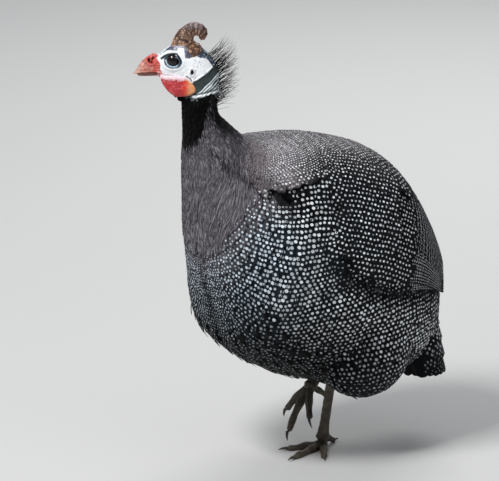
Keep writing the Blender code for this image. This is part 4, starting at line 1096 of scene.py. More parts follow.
def lapped(surface, a, b, turn, count, lap, least, most):
    """Widths with which count feathers in a row round turn degrees lap over their neighbours."""
    return np.clip(lie_of(surface, a, b)[3] * turn / count * lap, least, most)


def tinted(base, spread, count):
    return base * rng.uniform(1 - spread, 1 + spread, (count, 1))


a, b = staggered(np.arange(11.6, 0.7, -0.22), 36)
keep = (-a < 3.5) | (-a > 10.6) | (abs(b) > wing_edge(-a) - 14) | ((-a > 7.0) & (abs(b) > lip_angle(-a) - 12))
a, b = a[keep], b[keep]
count = len(a)
plain = plain_share(-a - 0.1, b, 0.8)
width = lapped(bare_trunk, a, b, 360, 36, 1.6, 9, 27)
bloom = ramp(-a, 7.6, 9.6) * ramp(abs(b), 60, 85) * ramp(-a, 11.6, 11.0)
colour = mixed(plain, mixed(bloom * 0.8, SLATE, TEAL_GREY), MAUVE * 0.85)
# Painted shade darkens their colours in the plumage's hollows, creases and underside, under the wing's edge
# and under the cape's lip.
body = Plumage(flank_form, a, b, length=np.clip(width * 1.3, 15, 30), width=width, low=-3.4,
               high=0.2 + rng.uniform(-0.2, 0.25, count), turn=rng.uniform(-0.08, 0.08, count),
               colour=tinted(1.0, 0.25, count) * colour * painted_shade(-a, b)[:, None])
body.mesh("body_feathers", trunk_bake, "spotted_plumage")

# Rump, lower back and wing coverts: smaller rounded feathers, mauve-grey along the spine and near
# black towards the tail, that hide the wings' upper edges.
a, b = staggered(np.arange(9.4, 2.9, -0.17), 32, -94, 94)
keep = (abs(b) < wing_edge(-a) - 3) & (abs(b) < 38 + 54 * ramp(-a, 6.2, 6.8))
a, b = a[keep], b[keep]
count = len(a)
width = lapped(form, a, b, 188, 32, 1.6, 8, 20)
spine = mixed(ramp(-a, 7.2, 5.0), MAUVE_BACK * 0.42, MAUVE_BACK * 0.12)
back = Plumage(form, a, b, length=np.clip(width * 1.25, 12, 24), width=width, low=-3.0,
               high=0.4 + rng.uniform(-0.3, 0.4, count), turn=rng.uniform(-0.08, 0.08, count),
               colour=tinted(1.0, 0.2, count) * mixed(ramp(abs(b), 14, 46), spine, SLATE * 1.2))
back.mesh("back_feathers", trunk_bake, "spotted_plumage")

# The mantle's cape: fine brownish-mauve feathers that run back from the neck and end in a lip
# that hangs over the shoulder.
a, b = staggered(np.arange(12.4, 5.9, -0.12), 48, -72, 72)
keep = abs(b) < np.where(-a < 10.9, lip_angle(-a) - 2.0, 70)
a, b = a[keep], b[keep]
count = len(a)
width = lapped(cape_form, a, b, 144, 48, 2.0, 5, 10)
fade = np.maximum(ramp(-a, 10.5, 8.9) * ramp(abs(b) / lip_angle(-a), 0.3, 0.8), 0.45 * ramp(-a, 10.0, 8.6))
rear = 0.9 * ramp(-a, 8.6, 6.4) * ramp(abs(b), 0, 20)
dark = np.clip(np.maximum(fade, rear) + rng.uniform(-0.08, 0.08, count), 0, 1)
# The cape's colours are darkened along the creases as painted shade.
cape = Plumage(cape_form, a, b, length=np.clip(width * 1.6, 10, 17), width=width, low=-3.0,
               high=0.5 + rng.uniform(-0.3, 0.4, count), turn=rng.uniform(-0.08, 0.08, count),
               colour=(tinted(1.0, 0.16, count) * mixed(dark, MAUVE_BACK, MAUVE_BACK * 0.09)
                       * (1 - 0.5 * creased(-a, b))[:, None]))
cape.mesh("mantle_feathers", trunk_bake, "plum_grey_plumage")

# The breast and the base of the neck: narrow hairlike plumes without spots, mauve-grey, with a
# velvety black throat patch that the turned head carries a little to its right.
SLIM = [(0.0, 0.5), (0.35, 1.0), (0.7, 0.8), (1.0, 0.12)]
SLIM_LANES = (-1.0, 0.0, 1.0)
BLACK_EDGE = (40, 80, 92, 104, 118, 140, 176), (16.2, 15.6, 14.9, 14.4, 14.2, 14.0, 13.7)
CHARCOAL_EDGE = (0, 40, 65, 90, 115, 180), (13.0, 13.2, 13.8, 14.7, 15.0, 14.4)


def black_front(station, angle):
    """1 on the black of the throat, by how far round from the nape a place is."""
    edge = np.interp(abs((angle + 160) % 360 - 180), *BLACK_EDGE)
    return ramp(station + rng.normal(0, 0.04, np.shape(station)), edge - 0.05, edge + 0.2)


def charcoal_share(station, angle):
    """How dark the mauve turns towards the nape and the top of the neck."""
    edge = np.interp(abs(angle), *CHARCOAL_EDGE)
    return ramp(station + rng.normal(0, 0.15, np.shape(station)), edge - 0.8, edge + 0.7)


def swirl(station, angle):
    """The lie of the hairlike plumes turns back towards the mantle beside the shoulder."""
    return np.sign(angle) * (ramp(station, 13.8, 12.4) * ramp(abs(angle), 165, 100)
                             + 0.25 * np.sin(station * 5.1 + angle * 0.05) * np.cos(angle * 0.11))


a, b = staggered(np.arange(14.2, 10.2, -0.115), 190, jitter=0.3)
plain = plain_share(-a - 0.1, b, 0.25)
keep = (plain > rng.uniform(0.3, 0.8, len(a))) & ((abs(b) > 48) | (-a > 11.8))
a, b, plain = a[keep], b[keep], plain[keep]
width = lapped(form, a, b, 360, 190, 1.35, 1.5, 3.2)
front_black = black_front(-a - 0.35, b)
shade = mixed(front_black, mixed(charcoal_share(-a, b) * 0.9, MAUVE, NIGHT * 2.2), NIGHT)
# The plumes' colours are darkened along the creases as painted shade.
shade = shade * ((1 - 0.55 * ramp(plain, 0.9, 0.3)) * (1 - 0.9 * creased(-a - 0.45, b)))[:, None]
for half, word in ((1, "left"), (-1, "right")):
    some = b * half > 0
    count = int(some.sum())
    breast = Plumage(form, a[some], b[some], length=rng.uniform(12, 18, count), width=width[some], low=-1.4,
                     high=0.6 + rng.uniform(-0.25, 0.35, count), camber=0.25,
                     turn=rng.uniform(-0.12, 0.12, count) + 0.95 * swirl(-a[some], b[some]),
                     colour=tinted(1.0, 0.34, count) * shade[some], profile=SLIM)
    breast.mesh(f"breast_feathers_{word}", trunk_bake, "plum_grey_plumage", lanes=SLIM_LANES)

# Loose dark feathers hang along the breast's keel and break its lower outline. They are rooted
# under the body's feathers and stand off at odd angles.
a, b = staggered(np.arange(9.4, 5.2, -0.3), 15, 122, 238, jitter=0.4)
keep = abs(b - 180) < 58 - 26 * ramp(-a, 7.6, 6.2)
a, b = a[keep], b[keep]
count = len(a)
keel = Plumage(flank_form, a, (b + 180) % 360 - 180, length=rng.uniform(13, 20, count),
               width=rng.uniform(3.5, 7, count), low=-1.0, high=rng.uniform(0.9, 3.4, count), camber=0.5,
               turn=rng.uniform(-0.45, 0.45, count), colour=tinted(1.0, 0.3, count) * SLATE * 0.5)
keel.mesh("keel_feathers", trunk_bake, "spotted_plumage")

# The neck is covered in short velvety black feathers that end in a ragged collar under the bare
# skin, with paler hairs among them at its sides.
a, b = staggered(np.arange(16.75, 13.8, -0.085), 84, jitter=0.3)
keep = -a < 16.0 + 0.45 * ramp(abs(b), 100, 20) + rng.uniform(-0.12, 0.12, len(a))
a, b = a[keep], b[keep]
count = len(a)
width = lapped(form, a, b, 360, 84, 1.5, 1.3, 2.8)
front_black, charcoal = black_front(-a, b), charcoal_share(-a, b)
pale_hair = ((rng.uniform(0, 1, count) < 0.4) * ramp(abs(b), 62, 82) * ramp(-a, 16.3, 15.3)
             * rng.uniform(0.2, 1, count))
shade = mixed(charcoal, MAUVE * 0.8, mixed(pale_hair, NIGHT * 1.6, MAUVE * 0.9))
neck = Plumage(form, a, b, length=rng.uniform(7.5, 11.5, count), width=width, low=-1.4,
               high=0.7 + rng.uniform(-0.3, 0.5, count), camber=0.3, turn=rng.uniform(-0.16, 0.16, count),
               colour=tinted(1.0, 0.5, count) * mixed(front_black, shade, NIGHT * 0.8), profile=SLIM)
neck.mesh("neck_feathers", trunk_bake, "black_neck_plumage", lanes=SLIM_LANES)

# Wiry black bristle feathers stand up along the nape, from the crown to the collar, and a short
# black beard of plumes hangs at the throat between the wattles.
NAPE_LOW, NAPE_HIGH = 371, 428


def bristles(name, roots, ways, lengths, lifts, thick, colour, bake):
    """Thin tapered three-sided shafts that curve upwards."""
    count, rings, sides = len(roots), 7, 3
    t = np.linspace(-0.06, 1, rings)
    up = np.array((0, 0, 1.0))
    line = (roots[:, None] + ways[:, None] * t[None, :, None] * lengths[:, None, None]
            + up * (lifts * lengths)[:, None, None] * (np.maximum(t, 0) ** 2)[None, :, None])
    aside = np.cross(ways, up)
    aside /= np.linalg.norm(aside, axis=-1, keepdims=True)
    other = np.cross(aside, ways)
    turn = np.arange(sides) * math.tau / sides
    spoke = (np.cos(turn)[:, None] * aside[:, None] + np.sin(turn)[:, None] * other[:, None])[:, None]
    radius = (thick / 2 * (1 - 0.72 * np.clip(t, 0, 1)))[None, :, None, None]
    points = (line[:, :, None] + radius * spoke).reshape(count, rings * sides, 3)
    across = np.broadcast_to(np.cos(turn), (count, rings, sides)).reshape(count, -1)
    along = np.broadcast_to(t[:, None], (count, rings, sides)).reshape(count, -1) * lengths[:, None]
    coat_piece(name, points, grid_quads(rings, sides, around=True), plumage, colour,
               bake, across, along, lengths[:, None], np.full((count, 1), 3.0))


count = 240
height = NAPE_LOW + (NAPE_HIGH - NAPE_LOW) * rng.uniform(0, 1, count) ** 0.9
swing = rng.normal(0, 20, count) * np.interp(height, (395, 412), (1, 0.35))
skin_tree = BVHTree.FromObject(skin, bpy.context.evaluated_depsgraph_get())
roots, ways = [], []
for z, angle in zip(height, swing):
    axis_y = float(np.interp(z, (366, 386, 400, 430), (-135, -138, -141, -146)))
    axis_x = float(np.interp(z, (380, 400), (0, -7)))
    turned = min(1, max(0, (z - 370) / 20))
    straight = Vector(-HEAD_AXES[0] * turned + np.array((0, 1, 0)) * (1 - turned)).normalized()
    away = Matrix.Rotation(math.radians(angle), 3, "Z") @ straight
    hit = skin_tree.ray_cast(Vector(settled((axis_x, axis_y, z))) + away * 0.08, -away)
    if hit[0] is None:
        continue
    roots.append(measured(hit[0]))
    lean = away + Vector((0, 0, rng.uniform(0.15, 0.75) + 0.35 * (z - 380) / 40))
    ways.append(tuple((lean + Vector(HEAD_AXES[1]) * rng.uniform(-0.15, 0.15)).normalized()))
roots, ways = np.array(roots), np.array(ways)
count = len(roots)
lengths = rng.uniform(13, 25, count)
nape_place = np.stack([0.1 + 0.8 * (roots[:, 2] - 360) / 80, 0.5 + roots[:, 0] / 60], -1)
bristles("nape_bristles", roots, ways, lengths, rng.uniform(-0.25, 0.4, count), 0.5,
         tinted(1.0, 0.3, count) * NIGHT, nape_place)

count = 320
f, l = rng.uniform(-5, 11.5, count), rng.uniform(-7, 7, count)
root_u = np.interp(f, (-6, 3, 12), (-31, -26, -19.5)) + 2.5 + 0.05 * l * l
tip_u = np.interp(f, (-6, 0, 4, 12), (-37.5, -37.5, -36, -29)) + 0.1 * l * l
roots, tips = in_head(np.stack([f, l, root_u], -1)), in_head(np.stack([f * 0.9 + 0.3, l * 0.8, tip_u], -1))
ways = tips - roots
lengths = np.linalg.norm(ways, axis=-1) * rng.uniform(0.82, 1.05, count)
ways /= np.linalg.norm(ways, axis=-1, keepdims=True)
bristles("throat_plumes", roots, ways, lengths, np.zeros(count), 1.7, tinted(1.0, 0.3, count) * NIGHT,
         np.stack([0.1 + 0.04 * (f + 6), 0.5 + 0.04 * l], -1))

# The thighs are feathered down to the ankle with the same dark feathers, lying downwards. None are
# made where the trunk or the flank's own feathers cover a thigh.


def depth_in_trunk(points):
    """How far points lie inside the trunk's surface, roughly, in millimetres; less than 0 outside."""
    best, inside = np.full(len(points), 1e9), np.full(len(points), -1e9)
    for station in np.arange(0.5, 12, 0.25):
        ring, normal, _, _ = lie_of(bare_trunk, np.full(36, -station), np.arange(0, 360, 10.0))
        gap = points[:, None] - ring[None]
        reach = np.linalg.norm(gap, axis=-1)
        near = reach.argmin(1)
        better = reach.min(1) < best
        best = np.where(better, reach.min(1), best)
        depth = -(gap[np.arange(len(points)), near] * normal[near]).sum(-1)
        inside = np.where(better, depth, inside)
    return inside


def thigh_bake(a, b):
    return np.stack([0.02 + 0.96 * (np.asarray(b) % 360) / 360, 0.02 + 0.96 * np.asarray(a)], -1)


for name, (centre, radii) in THIGHS.items():
    surface = thigh_surface(centre, radii)
    a, b = [], []
    for k, share in enumerate(np.arange(0.10, 0.97, 0.05)):
        count = max(8, int(math.sin(share * math.pi) * 26))
        a.append(np.full(count, share))
        b.append((np.arange(count) + 0.5 * (k % 2)) * 360 / count + rng.uniform(-3, 3, count))
    a, b = np.concatenate(a), np.concatenate(b)
    outer = np.cos(np.radians(b)) * (1 if centre[0] > 0 else -1) > -0.1
    keep = (depth_in_trunk(surface(a, b)) < 5.0) & ~(outer & (a < 0.45))
    a, b = a[keep], b[keep]
    count = len(a)
    leg = Plumage(surface, a, b, length=rng.uniform(20, 26, count), width=18,
                  high=0.3 + rng.uniform(-0.3, 0.6, count), turn=rng.uniform(-0.1, 0.1, count),
                  colour=tinted(1.0, 0.2, count) * SLATE * 0.8)
    leg.mesh(name.replace("thigh", "thigh_feathers"), thigh_bake, "spotted_plumage")

# The folded wings: coverts over stacked secondaries that fan out to the wing's tip, each showing a
# narrow strip of its outer web, and the primaries' tips below them.
FLIGHT = [(0.0, 0.55), (0.15, 0.8), (0.3, 0.95), (0.45, 1.0), (0.6, 1.0), (0.75, 0.95), (0.87, 0.78),
          (0.95, 0.5), (1.0, 0.2)]
WHITE, BLUE_WHITE = np.array((0.86, 0.90, 0.93)), np.array((0.56, 0.68, 0.79))
SIX = np.arange(6) * math.tau / 6
TICK_PITCH, TICK_RISE = 4.4, 0.16
TICKS = []
pearl = finish_of("pearl_spots", 0.7, own_colour, Specular_IOR_Level=0.2)


def between(first, last, count):
    return first + (last - first) * np.arange(count) / (count - 1)


def flight_tier(side, count, roots, tips, root_angles, tip_angles, width, low, high, tilt, colour, curl=0.0):
    """Long feathers fanned between two lines on the trunk, the first one nearest the back."""
    first, last = between(*root_angles, count), between(*tip_angles, count)
    root, tip = between(*roots, count), between(*tips, count)
    _, _, root_a, root_b = lie_of(bare_trunk, -root, first)
    along, aside = (root - tip) * root_a, (last - first) * root_b
    bend = curl * between(1.0, 0.2, count)
    return Plumage(bare_trunk, -root, first * side, np.hypot(along, aside), width, low=low, high=high,
                   camber=0.8, turn=(np.arctan2(aside, along) - bend) * side, tilt=tilt * side,
                   colour=tinted(1.0, 0.15, count) * colour, profile=FLIGHT, curl=np.sin(bend) * side)


def spot_piece(name, points, shade, spread):
    """A piece of many flat six-sided spots."""
    count = len(shade)
    across, along = (np.broadcast_to(rim, (count, 6)) for rim in (np.cos(SIX) * 2, np.sin(SIX) * 2 + 2))
    size = np.full((count, 1), 4.0)
    coat_piece(name, points, [[0, 1, 2, 3], [0, 3, 4, 5]], pearl, shade, spread, across,
               along, size, size)


def ticks_on(name, plumes, side):
    """Rows of pale ticks that run level across the stacked feathers, and the webs' pale edges."""
    which, x, y, wide, tall = [], [], [], [], []
    share = np.linspace(0.05, 0.97, 140)[None]
    along = plumes.length * share
    level = plumes.place(0 * along, along)[..., 2]
    for k in range(len(plumes.a)):
        length = float(plumes.length[k, 0])
        if level[k, 0] - level[k, -1] > 0.45 * length:
            rows = np.arange(math.ceil(level[k].min() / TICK_PITCH), level[k].max() / TICK_PITCH) * TICK_PITCH
            at = np.interp(-rows, -level[k], share[0]) * length
            lanes = ((0.84, 2.8, 1.15), (0.56, 2.9, 1.15), (0.28, 2.8, 1.15), (0.0, 2.6, 1.15))
        else:
            at = np.arange(6.0 + (k % 2) * 2, length * 0.9, TICK_PITCH * 0.72)
            lanes = ((0.84, 1.5, 1.2), (0.60, 1.7, 1.5), (0.36, 1.7, 1.5), (0.10, 1.6, 1.4))
        half = plumes.chosen(np.full(len(at), k)).half(at[:, None])[:, 0]
        for inset, w, h in lanes:
            for values, value in ((which, k), (x, side * inset * half), (y, at), (wide, w), (tall, h)):
                values.append(np.broadcast_to(value, len(at)))
    which, x, y, wide, tall = (np.concatenate(v) for v in (which, x, y, wide, tall))
    at = plumes.chosen(which).place(x[:, None], y[:, None])[:, 0]
    hind = at[:, 1] > 22 + (at[:, 2] - 66) * 0.27 + 4 * np.sin(at[:, 2] * 0.36)
    TICKS.append(at[hind])
    which, x, y, wide, tall = (v[hind] for v in (which, x, y, wide, tall))
    x = x + rng.uniform(-0.25, 0.25, len(x))
    y = np.minimum(y + rng.uniform(-0.3, 0.3, len(y)), plumes.length[which, 0] - 1.5)
    some = plumes.chosen(which)
    rim_x = x[:, None] + np.cos(SIX) * wide[:, None] / 2
    rim_y = y[:, None] + np.sin(SIX) * tall[:, None] / 2
    spread = trunk_bake(some.a[:, 0], some.b[:, 0]) + np.stack([x, y], -1) * 0.0002
    shade = WHITE * rng.uniform(0.4, 0.85, (len(which), 1))
    spot_piece(name, some.place(rim_x, rim_y, over=TICK_RISE), shade, spread)


for side, word in ((1, "left"), (-1, "right")):
    tiers = {
        "primaries": flight_tier(side, 5, (5.7, 5.9), (3.0, 3.15), (78, 90), (56, 66), 18, -1.0, 2.4, 0.9,
                                 SLATE * 0.6),
        "secondaries": flight_tier(side, 16, (6.6, 7.1), (3.3, 3.15), (20, 88), (44, 69), 25, -0.5, 5.6, 1.6,
                                   SLATE * 0.8, curl=0.22),
    }
    for tier, plumes in tiers.items():
        plumes.mesh(f"{tier}_{word}", trunk_bake, "spotted_plumage", (f"wing_{word}",))
        ticks_on(f"{tier}_spots_{word}", plumes, side)

# The tail hangs folded from the rump: a roof of stiff feathers under shorter, boldly spotted
# coverts, with softer undertail coverts below it.
TAIL_ROOT, TAIL_TIP = np.array((0.0, 111, 128)), np.array((0.0, 134, 62))
TAIL_RUN = 68.0


def tail_surface(a, b):
    """a runs from the tail's root to its tip, b round it from its upper midline."""
    a, b = np.broadcast_arrays(np.asarray(a, float), np.radians(b))
    down = (TAIL_TIP - TAIL_ROOT) / np.linalg.norm(TAIL_TIP - TAIL_ROOT)
    middle = TAIL_ROOT + (TAIL_TIP - TAIL_ROOT) * a[..., None]
    wide, deep = 36 + (27 - 36) * a, 25 + (18 - 25) * a
    return (middle + (np.sin(b) * wide)[..., None] * np.array((1.0, 0, 0))
            + (np.cos(b) * deep)[..., None] * np.cross((1, 0, 0), down))


def tail_bake(a, b):
    share = np.clip((np.asarray(a) + 1) / 2.2, 0, 1)
    return np.stack([0.05 + 0.9 * share, 0.5 + 0.95 * np.asarray(b) / 360], -1)


for tier, (count, root, tip, fan, width, high, dark) in {
    "tail_feathers": (15, 0.02, 1.12, 112, 22, 2.6, 0.5),
    "tail_coverts_long": (12, -0.1, 0.86, 104, 22, 4.4, 0.9),
    "tail_coverts": (11, -0.25, 0.60, 100, 22, 4.6, 0.9),
    "tail_coverts_short": (10, -0.42, 0.34, 92, 21, 4.4, 0.9),
}.items():
    b = between(-fan, fan, count)
    length = (tip - root - 0.10 * (b / fan) ** 2) * TAIL_RUN
    plumes = Plumage(tail_surface, np.full(count, root), b, length, width, low=-2.5,
                     high=high + 0.35 * (np.arange(count) % 2), camber=1.4,
                     colour=tinted(1.0, 0.15, count) * (SLATE * dark))
    plumes.mesh(tier, tail_bake, "spotted_plumage", ("tail",))

a, b = np.repeat((-0.35, -0.12, 0.12, 0.36), 9), np.tile(between(112, 248, 9), 4)
count = len(a)
under = Plumage(tail_surface, a, b + rng.uniform(-4, 4, count), rng.uniform(36, 44, count), 20, low=0.0,
                high=np.repeat((13, 12, 10, 7), 9) + rng.uniform(-1, 1, count), camber=1.2,
                colour=tinted(1.0, 0.2, count) * SLATE * 0.6)
under.mesh("undertail_coverts", tail_bake, "spotted_plumage")

# White spots: each body feather carries a few, and where the feathers overlap they read as
# unbroken staggered rows. They are small flat shapes of their own that lie on the topmost vanes.
SPOT_RISE, SPOT_CELL, SPOT_DROP, RIM_DROP = 0.13, 4, 60, 4


def lattice(surface, pitch, a_span, b_span, start, anchor, crosswise=False, aspect=0.88):
    """Staggered rows of places on a surface, as far apart as pitch(a, b) says. The rows run
    round the body, or along it where crosswise; they are regular near start and anchor."""
    a, b = np.linspace(*a_span, 240), np.linspace(*b_span, 180)
    along_a, along_b = np.meshgrid(a, b, indexing="ij")
    points, gap = surface(along_a, along_b), pitch(along_a, along_b)
    if crosswise:
        points, gap = points.swapaxes(0, 1), gap.T
        a, b, start, anchor = b, a, anchor, start
    run = np.linalg.norm(np.diff(points, axis=0), axis=2) / ((gap[1:] + gap[:-1]) / 2 * aspect)
    level = np.concatenate([np.zeros((1, len(b))), np.cumsum(run, 0)])
    level -= level[abs(a - start).argmin()][None]
    every_a, every_b = np.arange(len(a)), np.arange(len(b))
    found = []
    for row in range(math.ceil(level.min()), int(level.max()) + 1):
        inside = (level[0] <= row) & (level[-1] >= row)
        if inside.sum() < 3:
            continue
        share = np.array([np.interp(row, level[:, j], every_a) for j in every_b])
        low = np.minimum(share.astype(int), len(a) - 2)
        rest = (share - low)[:, None]
        curve = points[low, every_b] * (1 - rest) + points[low + 1, every_b] * rest
        wide = gap[low, every_b]
        steps = np.linalg.norm(np.diff(curve, axis=0), axis=1) / ((wide[1:] + wide[:-1]) / 2)
        along = np.concatenate([[0], np.cumsum(steps)])
        along -= np.interp(anchor, b, along)
        places = np.arange(math.ceil(along[0]), int(along[-1]) + 1) + 0.5 * (row % 2)
        places = places[(places >= along[0]) & (places <= along[-1])]
        at = np.interp(places, along, b)
        ok = np.interp(at, b, inside.astype(float)) > 0.99
        found.append(np.stack([np.interp(at, b, np.interp(share, every_a, a)), at], -1)[ok])
    found = np.concatenate(found)
    return (found[:, 1], found[:, 0]) if crosswise else (found[:, 0], found[:, 1])


def cell_of(place):
    return tuple(int(v // SPOT_CELL) for v in place)


coat_points, coat_faces, first = [], [], 0
for points, quads in LAID:
    coat_points.append(points)
    coat_faces.append(quads + first)
    first += len(points)
coat = BVHTree.FromPolygons(np.concatenate(coat_points).tolist(), np.concatenate(coat_faces).tolist())
taken = {}
for place in np.concatenate(TICKS):
    taken.setdefault(cell_of(place), []).append(Vector(place))


def lay_spots(name, surface, a, b, pitch, size, white, bake, reach, long=1.15):
    """Spots dropped on the coat from outside. One that would hang over a vane's edge is made
    smaller or left out, and none crowds another or a tick. reach is how far in the coat may lie."""
    point, normal, _, _ = lie_of(surface, a, b)
    ahead = surface(a + 0.02, b) - point
    ahead -= (ahead * normal).sum(-1, keepdims=True) * normal
    ahead /= np.linalg.norm(ahead, axis=-1, keepdims=True)
    aside = np.cross(ahead, normal)
    reach = np.broadcast_to(reach, np.shape(a))
    outlines, kept = [], []
    for k in range(len(a)):
        out = Vector(normal[k])
        spot, _, _, fall = coat.ray_cast(Vector(point[k]) + out * SPOT_DROP, -out, SPOT_DROP + reach[k])
        if spot is None or SPOT_DROP - fall > reach[k]:
            continue
        cell = cell_of(spot)
        near = [other for i in (-1, 0, 1) for j in (-1, 0, 1) for l in (-1, 0, 1)
                for other in taken.get((cell[0] + i, cell[1] + j, cell[2] + l), ())]
        if any((other - spot).length < pitch[k] * 0.66 for other in near):
            continue
        for grown in (1.0, 0.72):
            radius = size[k] / 2 * grown
            rim, falls = [], []
            for t in SIX:
                at = (spot + Vector(aside[k]) * (math.cos(t) * radius)
                      + Vector(ahead[k]) * (math.sin(t) * radius * long))
                fall = coat.ray_cast(at + out * RIM_DROP, -out, 2 * RIM_DROP)[3]
                if fall is None:
                    break
                rim.append(tuple(at + out * (RIM_DROP - fall + SPOT_RISE)))
                falls.append(fall)
            if len(rim) == 6 and max(falls) - min(falls) < 1.3 + 0.12 * size[k]:
                outlines.append(rim)
                kept.append(k)
                taken.setdefault(cell, []).append(spot)
                break
    if outlines:
        spot_piece(name, np.array(outlines), np.asarray(white)[kept], bake(a[kept], b[kept]))


def scattered(surface, a, b, pitch, share=0.18):
    """The same places, each a little off its row."""
    _, _, step_a, step_b = lie_of(surface, a, b)
    return (a + rng.uniform(-share, share, len(a)) * pitch / step_a,
            b + rng.uniform(-share, share, len(a)) * pitch / step_b)


def on_cape(s, angle):
    return ramp(angle, lip_angle(s) + 4, lip_angle(s) - 4) * ramp(s, 5.8, 7.2)


def trunk_pitch(a, b):
    """How far apart the spots are: closest on the cape, widest on the flanks."""
    s, angle = -a, abs(b)
    wide = (5.5 - 1.0 * ramp(s, 8.6, 10.4) - 1.4 * ramp(angle, 132, 172) * ramp(s, 4.5, 7.0)
            - 0.4 * ramp(s, 4.5, 3.0))
    wide = wide - 0.75 * ramp(s, 8.8, 7.6) * ramp(s, 2.6, 4.2) * ramp(angle, 104, 92)
    back, cape = ramp(angle, 44, 18), on_cape(s, angle)
    fine = 2.45 + 0.5 * ramp(s, 10.2, 8.8) + 1.1 * ramp(s, 8.8, 6.6) + 0.5 * ramp(angle, 25, 48)
    return (wide * (1 - back) + 3.9 * back) * (1 - cape) + fine * cape


def trunk_size(a, b):
    """How big the spots are: a share of how far apart they are."""
    s, angle = -a, abs(b)
    share = (0.60 - 0.08 * ramp(s, 8.8, 7.6) * ramp(angle, 104, 92) - 0.10 * ramp(angle, 60, 24)
             - 0.08 * ramp(angle, 132, 172) + 0.06 * ramp(s, 7.6, 9.0) * ramp(angle, 60, 90))
    cape = on_cape(s, angle)
    return trunk_pitch(a, b) * (share * (1 - cape) + (0.47 + 0.08 * ramp(angle, 20, 50)) * cape)


def cape_start(angle):
    """Where the cape's first fine spots begin, behind the plain mauve of the neck."""
    return np.interp(angle, (0, 20, 34, 50, 60), (10.9, 10.5, 10.5, 10.9, 11.0))


# On the trunk: the surface, the rows' spans and where they are regular, how far off its row a spot
# may be, where spots show, and how deep in the coat may lie.
SPOTTED = {
    "wing": (form, ((-8.2, -4.1), (24, 96), -6.6, 84, True, 1.05), 0.14,
             lambda s, t: (t < wing_edge(s) + 3) & (t > np.minimum(36 - 8 * (s - 6), 38)),
             lambda s, t: 9.0 + 0 * s),
    "body": (flank_form, ((-11.7, -0.7), (0, 180), -6.5, 97), 0.14,
             lambda s, t: (((s < 3.7) | (t < 38 + 54 * ramp(s, 6.0, 6.6))
                            | (t > wing_edge(s) - 3 - 8 * ramp(s, 4.5, 3)))
                           & ~((s > 5.9) & (t < lip_angle(s) - 3))),
             lambda s, t: 4.5 + 8 * ramp(t, 62, 50)),
    "mantle": (cape_form, ((-11.4, -5.6), (0, 70), -8.0, 40), 0.07,
               lambda s, t: (t < lip_angle(s) + 1) & (s < cape_start(t)),
               lambda s, t: 3.0 + 9 * ramp(s, 7.4, 6.6)),
}
for side, word in ((1, "left"), (-1, "right")):
    for part, (surface, rows, stray, inside, depth) in SPOTTED.items():
        a, b = lattice(surface, trunk_pitch, *rows)
        keep = inside(-a, b)
        a, b = a[keep], b[keep] * side
        pitch = trunk_pitch(a, b)
        a, b = scattered(surface, a, b, pitch, stray)
        s, angle = -a, abs(b)
        edge = cape_start(angle) if part == "mantle" else np.interp(angle, *PLAIN_EDGE)
        fade = ramp(s, edge + 0.15, edge - 0.75)
        keep = fade > rng.uniform(0.02, 0.25, len(a))
        a, b, pitch, fade, s, angle = (v[keep] for v in (a, b, pitch, fade, s, angle))
        shade = mixed(0.65 * ramp(s, 8.2, 9.8) * ramp(angle, 60, 90), WHITE, BLUE_WHITE)
        # Painted shade dims the spots in the plumage's hollows, creases and underside and makes them smaller
        # there; no spots are laid in the painted shadow under the cape's lip.
        shade = shade * rng.uniform(0.55, 1.1, (len(a), 1)) * painted_shade(s, b)[:, None]
        shade = shade * (1 - 0.3 * ramp(angle, 40, 15) * ramp(s, 9, 7))[:, None]
        keep = painted_lip_shadow(s, angle) < 0.6
        a, b, pitch, fade, s, angle, shade = (v[keep] for v in (a, b, pitch, fade, s, angle, shade))
        size = trunk_size(a, b) * rng.uniform(0.74, 1.12, len(a)) * (0.55 + 0.45 * fade)
        size = size * (0.7 + 0.3 * painted_shade(s, b))
        lay_spots(f"{part}_spots_{word}", surface, a, b, pitch, size, shade, trunk_bake, depth(s, angle))

THIGH_PITCH = 5.6
for name, (centre, radii) in THIGHS.items():
    surface = thigh_surface(centre, radii)
    for half, span, anchor in (("outer", (-90, 90), 0), ("inner", (90, 270), 180)):
        a, b = lattice(surface, lambda a, b: THIGH_PITCH + 0 * a, (0.05, 0.97), span, 0.5, anchor)
        pitch = np.full(len(a), THIGH_PITCH)
        a, b = scattered(surface, a, b, pitch)
        # Painted shade: the thighs' spots are dimmed well below white.
        shade = WHITE * 0.6 * rng.uniform(0.6, 1.0, (len(a), 1))
        lay_spots(name.replace("thigh", f"thigh_spots_{half}"), surface, a, b, pitch,
                  rng.uniform(2.5, 3.1, len(a)), shade, thigh_bake, 9.0)


def tail_pitch(a, _):
    return 5.0 - 1.2 * np.clip(a, 0, 1)


a, b = lattice(tail_surface, tail_pitch, (-0.5, 1.02), (-120, 120), 0.2, 0)
pitch = tail_pitch(a, b)
a, b = scattered(tail_surface, a, b, pitch)
# Painted shade: the tail's spots are dimmed, and more so towards its tip.
shade = WHITE * (0.7 - 0.45 * ramp(a, 0.4, 0.9))[:, None] * rng.uniform(0.6, 1.0, (len(a), 1))
lay_spots("tail_spots", tail_surface, a, b, pitch, pitch * 0.52 * (1 - 0.3 * ramp(a, 0.6, 0.95)), shade,
          tail_bake, 9.0, long=1.5)

